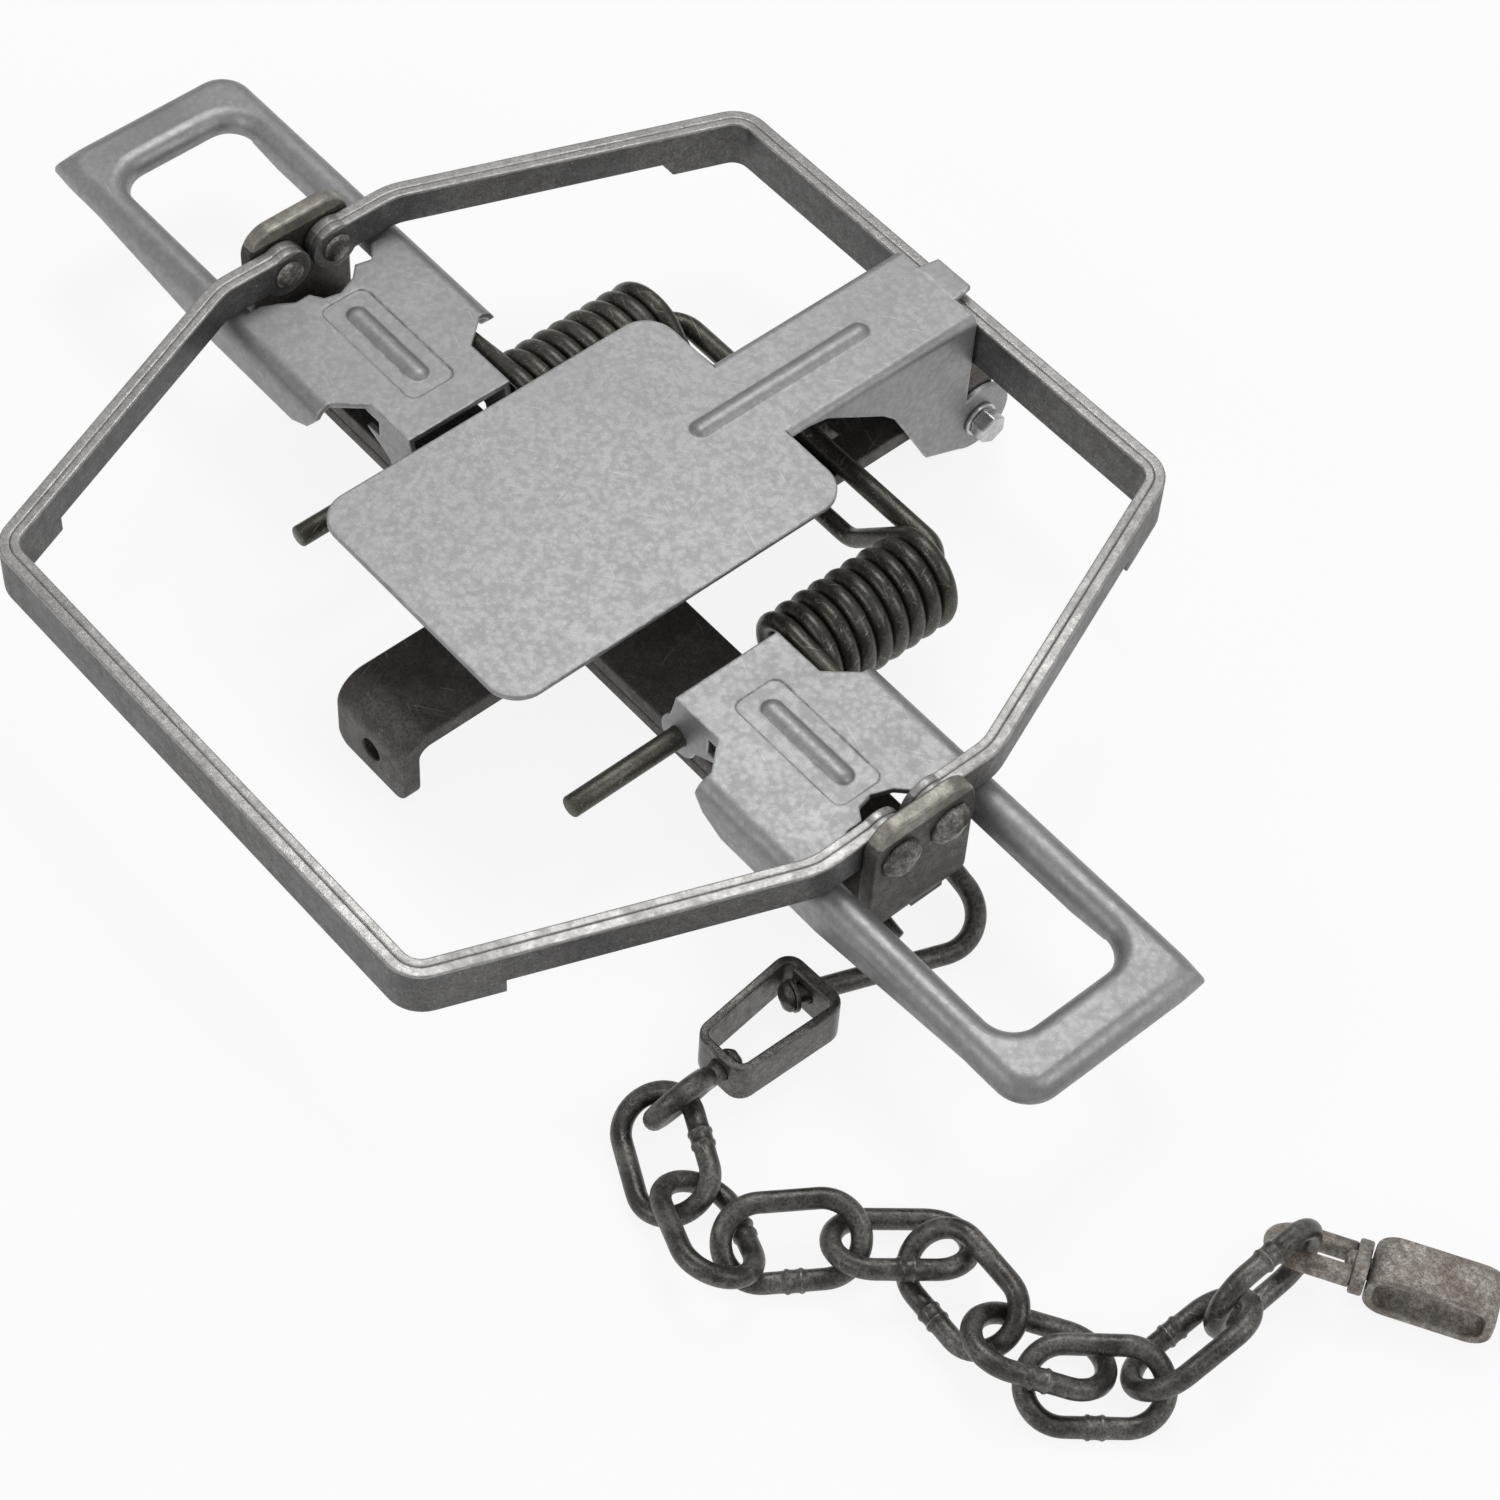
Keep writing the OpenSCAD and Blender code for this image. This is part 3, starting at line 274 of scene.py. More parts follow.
@dataclass(frozen=True)
class MetalFinish:
    """One metal finish: its colours, its gloss, its grain and its wear.

    Attributes:
        kind: The finish's name.
        dark: Colour of its darker patches.
        light: Colour of its lighter patches.
        worn: Colour of rubbed corners.
        stain: Colour of stains and rust.
        metallic: How metallic it is.
        roughness: Mean roughness.
        spread: How far the roughness varies.
        patch_scale: Scale of the large patches.
        grain_scale: Scale of the fine grain.
        grain_tone: How much the grain changes the colour.
        grain_height: Height of the grain, in metres.
        scuff: Strength of thin scratches.
        density: How many scratches there are.
        wear_radius: Width of the rounded, rubbed corners, in metres.
        wear: Strength of the wear on corners.
        pit_scale: Scale of pits and stains.
        pit: Strength of pits and stains.
        top: Height above which its edge is ground bright, in metres, or 0 where none is.
        ground: Colour of the ground edge.
    """

    kind: Kind
    dark: Colour
    light: Colour
    worn: Colour
    stain: Colour
    metallic: float
    roughness: float
    spread: float = 0.2
    patch_scale: float = 30.0
    grain_scale: float = 900.0
    grain_tone: float = 0.25
    grain_height: float = 0.00005
    scuff: float = 0.3
    density: float = 0.5
    wear_radius: float = 0.0006
    wear: float = 0.8
    pit_scale: float = 300.0
    pit: float = 0.2
    top: float = 0.0
    ground: Colour = WHITE

    def build(self, effects: Effects) -> bpy.types.Material:
        """Builds the finish as a node material.

        Args:
            effects: The shared node groups.

        Returns:
            The material.
        """
        material = bpy.data.materials.new(self.kind.value + "_dressed")
        board = NodeBoard.emptied(material)
        place = board.add("TexCoord").outputs["Object"]
        patches = board.step(board.noise(place, self.patch_scale, 5.0, 0.6), 0.34, 0.66)
        grain, scuffs, edge, pits = (
            board.add("Group", {"Vector": place, **inputs}, node_tree=tree).outputs for tree, inputs in (
                (effects.grain, {"Scale": self.grain_scale}), (effects.scuffs, {"Density": self.density}),
                (effects.worn_edge, {"Radius": self.wear_radius, "Scale": WEAR_SCALE}),
                (effects.pits, {"Scale": self.pit_scale})))
        stained = board.math("MULTIPLY", pits["Mask"], self.pit)
        scuffed = board.math("MULTIPLY", scuffs["Mask"], self.scuff)
        rubbed = board.math("MULTIPLY", edge["Mask"], self.wear)

        tone = board.math("MULTIPLY", board.math("SUBTRACT", grain["Tone"], 0.5), 2.0 * self.grain_tone)
        mixed = {0: board.blend(patches, self.dark, self.light), "Scale": board.math("ADD", 1.0, tone)}
        colour = board.add("VectorMath", mixed, operation="SCALE").outputs["Vector"]
        colour, ground = self._ground_edge(board, place, colour) if self.top else (colour, 0.0)
        for mask, over in ((stained, self.stain), (scuffed, self.worn), (rubbed, self.worn)):
            colour = board.blend(mask, colour, over)

        drift = board.math("MULTIPLY", board.math("SUBTRACT", patches, 0.5), self.spread)
        rough = board.math("ADD", self.roughness, drift)
        for operation, mask, share in (("ADD", stained, 0.25), ("SUBTRACT", rubbed, 0.12), ("SUBTRACT", ground, 0.1)):
            rough = board.math(operation, rough, board.math("MULTIPLY", mask, share), clamp=True)

        height = board.math("ADD", grain["Height"], board.math("MULTIPLY", pits["Height"], -self.pit))
        bump = board.add("Bump", {"Height": board.math("SUBTRACT", height, scuffed), "Strength": 1.0,
                                  "Distance": self.grain_height, "Normal": edge["Normal"]})
        shader = board.add("BsdfPrincipled", {"Base Color": colour, "Roughness": rough, "Metallic": self.metallic,
                                              "Normal": bump.outputs[0]})
        board.give(board.add("OutputMaterial"), Surface=shader.outputs[0])
        return material

    def _ground_edge(self, board: NodeBoard, place: Socket, colour: Socket) -> tuple[Socket, Socket]:
        """Grinds the top edge bright, with a ragged limit and a mottle.

        Args:
            board: The board to build on.
            place: The object coordinates.
            colour: The colour so far.

        Returns:
            The colour and the mask of the ground edge.
        """
        height = board.add("SeparateXYZ", {0: place}).outputs["Z"]
        ragged = board.math("MULTIPLY", board.noise(place, 420.0, 4.0, 0.7), 0.0006)
        mask = board.step(board.math("ADD", height, ragged), self.top, self.top + 0.0004)
        mottle = board.step(board.noise(place, 1300.0, 5.0, 0.7), 0.25, 0.8, 0.55)
        mixed = {0: self.ground[:3], "Scale": board.math("ADD", 0.66, mottle)}
        bright = board.add("VectorMath", mixed, operation="SCALE").outputs["Vector"]
        return board.blend(mask, colour, bright), mask


FINISHES: tuple[MetalFinish, ...] = (
    MetalFinish(Kind.DARK_IRON, srgb(60, 58, 56), srgb(88, 85, 83), srgb(182, 179, 176), srgb(54, 46, 41), 0.55,
                0.44, grain_tone=0.35, grain_height=0.0001, scuff=0.35, wear=0.85, pit=0.35, pit_scale=420.0,
                top=0.0345, ground=srgb(150, 147, 138)),
    MetalFinish(Kind.JAW_STEEL, srgb(74, 73, 73), srgb(104, 103, 102), srgb(198, 197, 196), srgb(62, 57, 53), 0.6,
                0.42, grain_tone=0.3, scuff=0.35, wear=0.75, pit=0.25, pit_scale=500.0, top=0.0325,
                ground=srgb(166, 165, 163)),
    MetalFinish(Kind.LEVER_SHEET, srgb(143, 143, 144), srgb(158, 158, 159), srgb(218, 218, 218), srgb(104, 102, 100),
                0.75, 0.42, spread=0.1, grain_scale=2100.0, grain_tone=0.09, grain_height=0.000035, scuff=0.22,
                wear_radius=0.0008, pit=0.22, pit_scale=700.0),
    MetalFinish(Kind.SPRING_WIRE, srgb(64, 63, 59), srgb(88, 87, 80), srgb(176, 174, 166), srgb(50, 46, 39), 0.75,
                0.32, scuff=0.45, density=0.8, wear=0.4, pit=0.3),
    MetalFinish(Kind.CHAIN_WIRE, srgb(64, 63, 61), srgb(108, 106, 103), srgb(206, 204, 200), srgb(62, 56, 51), 0.72,
                0.34, patch_scale=110.0, grain_tone=0.4, grain_height=0.00008, wear=0.85, pit=0.35, pit_scale=620.0),
    MetalFinish(Kind.RIVET_STEEL, srgb(84, 82, 78), srgb(150, 147, 142), srgb(216, 214, 210), srgb(60, 54, 48), 0.75,
                0.34, patch_scale=160.0, grain_tone=0.5, grain_height=0.00012, pit=0.5, pit_scale=700.0),
    MetalFinish(Kind.END_IRON, srgb(112, 105, 98), srgb(162, 157, 151), srgb(226, 224, 221), srgb(92, 78, 66), 0.55,
                0.46, patch_scale=200.0, grain_scale=1500.0, grain_tone=0.5, grain_height=0.00012, scuff=0.4,
                wear=1.0, wear_radius=0.0007, pit=0.5, pit_scale=900.0),
    MetalFinish(Kind.ZINC_STEEL, srgb(186, 186, 188), srgb(214, 214, 216), srgb(236, 236, 236), srgb(120, 114, 108),
                0.9, 0.24, grain_tone=0.15, wear=0.5, pit=0.25),
)


def arc(middle: Point, radius: float, start: float, end: float, steps: int) -> list[Vector]:
    """Returns points on an arc in the XY plane, from one angle in degrees to another."""
    angles = [math.radians(start + (end - start) * k / steps) for k in range(steps + 1)]
    return [Vector((middle[0] + radius * math.cos(a), middle[1] + radius * math.sin(a), 0.0)) for a in angles]


def between(start: Point, end: Point, steps: int) -> list[Vector]:
    """Returns evenly spaced points on a straight run, without its two ends."""
    first, last = Vector(start), Vector(end)
    return [first.lerp(last, k / steps) for k in range(1, steps)]


def placed(name: str, data: bpy.types.ID) -> bpy.types.Object:
    """Puts a new object into the scene.

    Args:
        name: The object's name.
        data: Its mesh, curve, lamp or camera.

    Returns:
        The new object.
    """
    made = bpy.data.objects.new(name, data)
    bpy.context.scene.collection.objects.link(made)
    return made


def mesh_of(name: str, bm: Mesh) -> bpy.types.Mesh:
    """Turns an edited mesh into mesh data.

    Args:
        name: The data's name.
        bm: The edited mesh. It is freed.

    Returns:
        The mesh data.
    """
    mesh = bpy.data.meshes.new(name)
    bm.to_mesh(mesh)
    bm.free()
    return mesh


def moved(bm: Mesh, matrix: Matrix) -> Mesh:
    """Moves an edited mesh and returns it."""
    bmesh.ops.transform(bm, matrix=matrix, verts=bm.verts)
    return bm


@dataclass
class Wire:
    """A round wire along a route, with swells where it is welded, headed or cut.

    Attributes:
        route: The points that its middle follows, in millimetres.
        diameter: The wire's diameter.
        closed: Whether the route closes on itself.
        swells: Share of the diameter at each point, or empty for an even wire.
        blunt: How far each end is rounded off.
    """

    route: list[Vector]
    diameter: float
    closed: bool = False
    swells: list[float] = field(default_factory=list)
    blunt: float = 0.4

    def mesh(self) -> Mesh:
        """Sweeps the wire.

        Returns:
            The wire as a closed mesh, in millimetres.
        """
        route = [Vector(point) for point in self.route]
        swells = self.swells or [1.0] * len(route)
        if not self.closed and self.blunt:
            route, swells = self._rounded_ends(route, swells)
        curve = bpy.data.curves.new("route", "CURVE")
        curve.dimensions = "3D"
        curve.bevel_depth = self.diameter / 2
        curve.bevel_resolution = 6
        curve.use_fill_caps = not self.closed
        curve.twist_mode = "MINIMUM"
        spline = curve.splines.new("POLY")
        spline.points.add(len(route) - 1)
        for point, place, swell in zip(spline.points, route, swells):
            point.co = (*place, 1.0)
            point.radius = swell
        spline.use_cyclic_u = self.closed
        holder = placed("route", curve)
        made = bpy.data.meshes.new_from_object(holder.evaluated_get(bpy.context.evaluated_depsgraph_get()))
        bm = bmesh.new()
        bm.from_mesh(made)
        bpy.data.objects.remove(holder)
        bpy.data.curves.remove(curve)
        bpy.data.meshes.remove(made)
        return bm

    def _rounded_ends(self, route: list[Vector], swells: list[float]) -> tuple[list[Vector], list[float]]:
        """Rounds both cut ends off.

        Args:
            route: The wire's points.
            swells: Its share of the diameter at each point.

        Returns:
            The longer lists of points and shares.
        """
        for _ in range(2):
            way = (route[1] - route[0]).normalized()
            lost = self.blunt / self.diameter
            extra = [(0.0, 1 - 2 * lost), (0.3 * self.blunt, 1 - 0.8 * lost), (self.blunt, 1.0)]
            route = [route[0] + way * step for step, _ in extra] + route[1:]
            swells = [share * swells[0] for _, share in extra] + swells[1:]
            route, swells = route[::-1], swells[::-1]
        return route, swells


def lathe(profile: Sequence[Pair], matrix: Matrix, steps: int) -> Mesh:
    """Turns a profile round the X axis.

    Args:
        profile: Points as place along X and radius, in millimetres.
        matrix: Where the turned piece goes.
        steps: How many steps the turn has.

    Returns:
        The turned mesh.
    """
    bm = bmesh.new()
    verts = [bm.verts.new((x, radius, 0.0)) for x, radius in profile]
    edges = [bm.edges.new(pair) for pair in zip(verts, verts[1:])]
    bmesh.ops.spin(bm, geom=verts + edges, cent=(0, 0, 0), axis=(1, 0, 0), angle=math.tau, steps=steps, use_merge=True)
    bmesh.ops.remove_doubles(bm, verts=bm.verts, dist=MERGE)
    return moved(bm, matrix)


def join(bm: Mesh, *others: Mesh) -> Mesh:
    """Adds meshes to a mesh.

    Args:
        bm: The mesh that grows.
        *others: The meshes that are added. They are freed.

    Returns:
        The grown mesh.
    """
    for other in others:
        passed = mesh_of("passed", other)
        bm.from_mesh(passed)
        bpy.data.meshes.remove(passed)
    return bm


def hammered(bm: Mesh, depth: float, size: float, beyond: float = 0.0) -> None:
    """Beats shallow dents into a mesh.

    Args:
        bm: The mesh, in millimetres.
        depth: Depth of the dents.
        size: Distance over which they change.
        beyond: Distance from X = 0 beyond which it is beaten.
    """
    bm.normal_update()
    for vert in bm.verts:
        if abs(vert.co.x) > beyond:
            vert.co += vert.normal * depth * noise.noise(vert.co / size)


class Workshop:
    """Finishes meshes: cleans and dresses them, hangs them on their bodies and reports them."""

    def __init__(self) -> None:
        """Builds the materials."""
        effects = Effects()
        self.materials = {finish.kind: finish.build(effects) for finish in FINISHES}

    def dress_nodes(self) -> None:
        """Gives every CAD node its finish, also where a finer piece stands for it."""
        slots = {part["node"]: part["material_slot"] for part in frame["record"]["subparts"]}
        for name, node in frame["nodes"].items():
            for material_slot in node.material_slots:
                material_slot.material = self.materials[Kind(slots[name])]

    def finish(self, node: str, suffix: str, bm: Mesh, kind: Kind, body: str | None, sharp: float = 34.0,
               flat: bool = False) -> bpy.types.Object:
        """Makes the piece that stands for a CAD node.

        Args:
            node: The node's name.
            suffix: What the piece's name has after it.
            bm: The mesh, in millimetres in the row frame. It is freed.
            kind: Its finish.
            body: The body that it rides on, or None where it rides on no body.
            sharp: Angle above which an edge shades sharp, in degrees.
            flat: Whether its large faces shade flat beside broken edges.

        Returns:
            The finished object.
        """
        name = node + "_" + suffix
        bmesh.ops.remove_doubles(bm, verts=bm.verts, dist=MERGE)
        bmesh.ops.recalc_face_normals(bm, faces=bm.faces)
        bmesh.ops.scale(bm, vec=(MM, MM, MM), verts=bm.verts)
        mesh = mesh_of(name, bm)
        for layer in ("custom_normal", "sharp_edge"):
            if layer in mesh.attributes:
                mesh.attributes.remove(mesh.attributes[layer])
        mesh.materials.clear()
        mesh.materials.append(self.materials[kind])
        mesh.shade_smooth()
        mesh.set_sharp_from_angle(angle=math.radians(sharp))
        piece = placed(name, mesh)
        if flat:
            even = piece.modifiers.new("even_faces", "WEIGHTED_NORMAL")
            even.keep_sharp, even.weight = True, 90
        if body:
            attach(piece, body)
        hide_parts(node)
        log.info("%s: %d faces in %s", name, len(mesh.polygons), kind.value)
        return piece

    @staticmethod
    def copied(node: str) -> Mesh:
        """Copies a CAD node, merges its corners and makes its flat faces whole.

        Args:
            node: The node's name.

        Returns:
            The copy, in millimetres.
        """
        bm = bmesh.new()
        bm.from_mesh(frame["nodes"][node].data)
        bmesh.ops.scale(bm, vec=(1 / MM, 1 / MM, 1 / MM), verts=bm.verts)
        bmesh.ops.remove_doubles(bm, verts=bm.verts, dist=2 * MERGE)
        bmesh.ops.dissolve_limit(bm, angle_limit=FLAT, verts=bm.verts, edges=bm.edges)
        return bm

    def refined(self, node: str, kind: Kind, body: str, edge: float = 0.3, copy: Mesh | None = None) -> None:
        """Breaks the sharp edges of a CAD node's copy and dresses it.

        Args:
            node: The node.
            kind: Its finish.
            body: The body that it rides on.
            edge: Width of the broken edges.
            copy: A copy of the node that was changed, or None for a fresh one.
        """
        bm = copy or self.copied(node)
        edges = [e for e in bm.edges if e.is_manifold and e.calc_face_angle(0.0) > BROKEN]
        bmesh.ops.bevel(bm, geom=edges, offset=edge, offset_type="OFFSET", segments=2, profile=0.5, affect="EDGES",
                        material=-1, clamp_overlap=False)
        self.finish(node, "dressed", bm, kind, body, sharp=50.0, flat=True)


@dataclass
class Assembly:
    """A sub-assembly that builds and dresses its own pieces.

    Attributes:
        shop: The workshop that finishes them.
    """

    shop: Workshop

    def build(self) -> None:
        """Builds and dresses the pieces."""
        raise NotImplementedError


@dataclass
class BaseFrame(Assembly):
    """The base strip with its posts, the cross strip and all that is fixed to them.

    Attributes:
        post_face: Distance of a post's outer face from the middle.
        tip_face: Distance of a rivet's inner head from the middle.
        pin_y: Distance of a rivet from the middle plane.
        pin_z: Height of the rivets.
        pin_r: Radius of a rivet's shank.
    """

    post_face: float = 109.8
    tip_face: float = 100.75
    pin_y: float = 6.9
    pin_z: float = 27.5
    pin_r: float = 3.0

    def build(self) -> None:
        """Builds and dresses the frame."""
        self.shop.refined("frame_base", Kind.DARK_IRON, "frame", edge=0.7)
        for name in ("doubler_a", "doubler_b", "cross_strip"):
            self.shop.refined(name, Kind.DARK_IRON, "frame", edge=0.5)
        for name in ("pan_bracket", "ring_clip"):
            self.shop.refined(name, Kind.DARK_IRON, "frame", edge=0.25)
        for post, side in (("a", -1.0), ("b", 1.0)):
            for jaw, y in (("front", -self.pin_y), ("rear", self.pin_y)):
                self._rivet("pin_%s_%s" % (post, jaw), side, y)

    def _rivet(self, name: str, side: float, y: float) -> None:
        """Builds one peened jaw rivet.

        Args:
            name: The node that it stands for.
            side: -1 at post A and 1 at post B.
            y: Its distance from the middle plane.
        """
        tip, face = self.tip_face, self.post_face
        profile = [(tip - 1.5, 0.0), (tip - 1.42, 1.6), (tip - 1.1, 2.9), (tip - 0.55, 3.65), (tip - 0.05, 3.8),
                   (tip, self.pin_r), (face, self.pin_r), (face, 5.1), (face + 0.35, 5.25), (face + 0.8, 5.05),
                   (face + 1.5, 4.5), (face + 2.2, 3.6), (face + 2.8, 2.4), (face + 3.1, 1.1), (face + 3.2, 0.0)]
        place = Matrix.Translation((0, y, self.pin_z)) @ Matrix.Scale(side, 4, (1, 0, 0))
        bm = lathe(profile, place, 44)
        hammered(bm, 0.5, 1.7, face + 0.2)
        self.shop.finish(name, "peened", bm, Kind.RIVET_STEEL, "frame", sharp=50.0)


@dataclass
class AxleAndSprings(Assembly):
    """The axle rod and the two wound springs.

    Attributes:
        rod_d: Diameter of the rod.
        tail: Distance of its free ends from the middle.
        cross: Distance of its crosspiece from the middle.
        bend: Radius of its bends.
        wire_d: Diameter of the spring wire.
        coil_r: Mean radius of the turns.
        pitch: Advance of one turn.
        turns: Whole turns.
        start: Distance from the middle to the first turn.
        slope: Slope of the leg under the lever, in degrees.
        leg: Length of that leg.
        leave: How far past the top the base leg leaves, in degrees.
        bar_z: Height of the leg under the cross strip.
        bend_r: Radius of the bend between the base leg and the turns.
        foot_x: Where the base leg ends under the cross strip.
        step: Angle between two points of the turns, in degrees.
        give: Distances from the middle between which a spring would bend from the frame to its lever; not used.
    """

    rod_d: float = 5.2
    tail: float = 45.0
    cross: float = 65.0
    bend: float = 8.0
    wire_d: float = 4.6
    coil_r: float = 9.9
    pitch: float = 4.85
    turns: int = 8
    start: float = 18.0
    slope: float = 8.0
    leg: float = 30.0
    leave: float = 45.0
    bar_z: float = 1.55
    bend_r: float = 7.0
    foot_x: float = 3.0
    step: float = 7.5
    give: Pair = (50.0, 19.0)

    def build(self) -> None:
        """Builds the rod and both springs."""
        self._rod()
        for lever, side in (("a", -1.0), ("b", 1.0)):
            bm = moved(Wire(self._route(), self.wire_d).mesh(), Matrix.Scale(side, 4, (1, 0, 0)))
            spring = self.shop.finish("spring_" + lever, "wound", bm, Kind.SPRING_WIRE, None)
            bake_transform(spring)

    def _rod(self) -> None:
        """Builds the rod, bent to a U."""
        inner = ROD_X - self.bend
        start, end = (Vector((x, -self.tail, 0)) for x in (-ROD_X, ROD_X))
        left = arc((-inner, self.cross - self.bend), self.bend, 180, 90, 14)
        right = arc((inner, self.cross - self.bend), self.bend, 90, 0, 14)
        route = [start, *between(start, left[0], 8), *left, *between(left[-1], right[0], 6), *right,
                 *between(right[-1], end, 8), end]
        bm = moved(Wire(route, self.rod_d, blunt=0.5).mesh(), Matrix.Translation((0, 0, ROD_Z)))
        self.shop.finish("axle_rod", "bent", bm, Kind.SPRING_WIRE, "frame")

    def _route(self) -> list[Vector]:
        """Winds the spring at post B.

        Returns:
            The middle of its wire, from the lever's leg to the base leg.
        """
        def way(angle: float) -> Vector:
            """Returns the direction across the rod that rises by an angle in degrees."""
            a = math.radians(angle)
            return Vector((math.cos(a), 0, math.sin(a)))
        first, last = -self.slope, 360 * self.turns + self.leave
        steps = int((last - first) / self.step)
        angles = [first + (last - first) * k / steps for k in range(steps + 1)]
        coil = [Vector((ROD_X, self.start + self.pitch * (angle - first) / 360, ROD_Z)) + self.coil_r * way(90 + angle)
                for angle in angles]
        tip = coil[0] + self.leg * way(-self.slope)
        foot = coil[-1]
        leave = math.radians(self.leave)
        corner = foot + (foot.z - self.bar_z) / math.sin(leave) * way(180 + self.leave)
        reach = self.bend_r * math.tan(leave / 2)
        before = corner + reach * way(self.leave)
        middle = Vector((corner.x - reach, foot.y, self.bar_z + self.bend_r))
        turned = [middle + self.bend_r * way(-90 + self.leave * (1 - k / 8)) for k in range(9)]
        end = Vector((self.foot_x, foot.y, self.bar_z))
        return [tip, *between(tip, coil[0], 10), *coil, *between(foot, before, 5), *turned,
                *between(turned[-1], end, 5), end]


@dataclass
class JawPair(Assembly):
    """The two jaws, each of a main strip and a laminate strip inside it."""

    def build(self) -> None:
        """Builds and dresses both jaws."""
        for body in ("front_jaw", "rear_jaw"):
            for node in (body, body.replace("jaw", "laminate")):
                self.shop.refined(node, Kind.JAW_STEEL, body)


@dataclass
class LeverPair(Assembly):
    """The two slotted levers.

    Attributes:
        corner_r: Radius of the outer corners in the CAD.
        drawn: How far one outer corner is drawn out towards a sharp one, from 0 to 1.
        tip: Length of the outer end that the corners belong to.
    """

    corner_r: float = 8.5
    drawn: float = 0.8
    tip: float = 12.0

    def build(self) -> None:
        """Builds and dresses both levers."""
        for body, way in (("lever_a", -1.0), ("lever_b", 1.0)):
            bm = self.shop.copied(body)
            self._draw_corner(bm, way)
            self.shop.finish(body, "dressed", bm, Kind.LEVER_SHEET, body, sharp=32.0, flat=True)

    def _draw_corner(self, bm: Mesh, way: float) -> None:
        """Draws the outer corner out that is the sharper one. Both levers are one stamping, turned round.

        Args:
            bm: The lever, in millimetres.
            way: 1 for the rear corner and -1 for the front one.
        """
        end = max(abs(vert.co.x) for vert in bm.verts)
        edge = max(way * vert.co.y for vert in bm.verts if abs(vert.co.x) > end - self.tip)
        r = self.corner_r
        for vert in bm.verts:
            out, side = abs(vert.co.x) - (end - r), way * vert.co.y - (edge - r)
            if out > 0 and side > 0:
                reach = math.hypot(out, side)
                stretch = self.drawn * (reach / max(out, side) - 1) * min(1.0, reach / r)
                vert.co.x += math.copysign(out * stretch, vert.co.x)
                vert.co.y += way * side * stretch


@dataclass
class PanSet(Assembly):
    """The trigger pan with its tongue, and the bolt that it turns on.

    Attributes:
        tongue_l: Length of the tongue that holds the rear jaw down.
        tongue_w: Width where it leaves the pan.
        tongue_end_w: Width of its end.
        plate_z: Height above which only the plate reaches.
    """

    tongue_l: float = 5.6
    tongue_w: float = 13.0
    tongue_end_w: float = 11.0
    plate_z: float = 34.9

    def build(self) -> None:
        """Builds and dresses the pan and its bolt."""
        self.shop.refined("pan", Kind.LEVER_SHEET, "pan", copy=self._with_tongue())
        for name in ("pan_bolt", "pan_nut"):
            self.shop.refined(name, Kind.ZINC_STEEL, "frame", edge=0.4)
        for name in ("pan_washer_a", "pan_washer_b"):
            self.shop.refined(name, Kind.ZINC_STEEL, "frame", edge=0.2)

    def _with_tongue(self) -> Mesh:
        """Draws the tongue out of the end of the pan's plate.

        Returns:
            The pan's copy with its tongue.
        """
        bm = self.shop.copied("pan")
        rear = max(vert.co.y for vert in bm.verts if vert.co.z > self.plate_z)
        half = self.tongue_w / 2
        for x in (-half, half):
            ends = [face for face in bm.faces if all(abs(rear - vert.co.y) < NEAR for vert in face.verts)]
            edges = {edge for face in ends for edge in face.edges}
            verts = {vert for face in ends for vert in face.verts}
            bmesh.ops.bisect_plane(bm, geom=[*ends, *edges, *verts], plane_co=(x, 0, 0), plane_no=(1, 0, 0))
        root = [face for face in bm.faces
                if all(abs(rear - vert.co.y) < NEAR and abs(vert.co.x) < half + NEAR for vert in face.verts)]
        log.info("pan_tongue: drawn from %d faces at %.2f", len(root), rear)
        grown = bmesh.ops.extrude_face_region(bm, geom=root)
        for item in grown["geom"]:
            if isinstance(item, bmesh.types.BMVert):
                item.co.y += self.tongue_l
                item.co.x *= self.tongue_end_w / self.tongue_w
        bmesh.ops.dissolve_limit(bm, angle_limit=FLAT, verts=bm.verts, edges=bm.edges)
        return bm


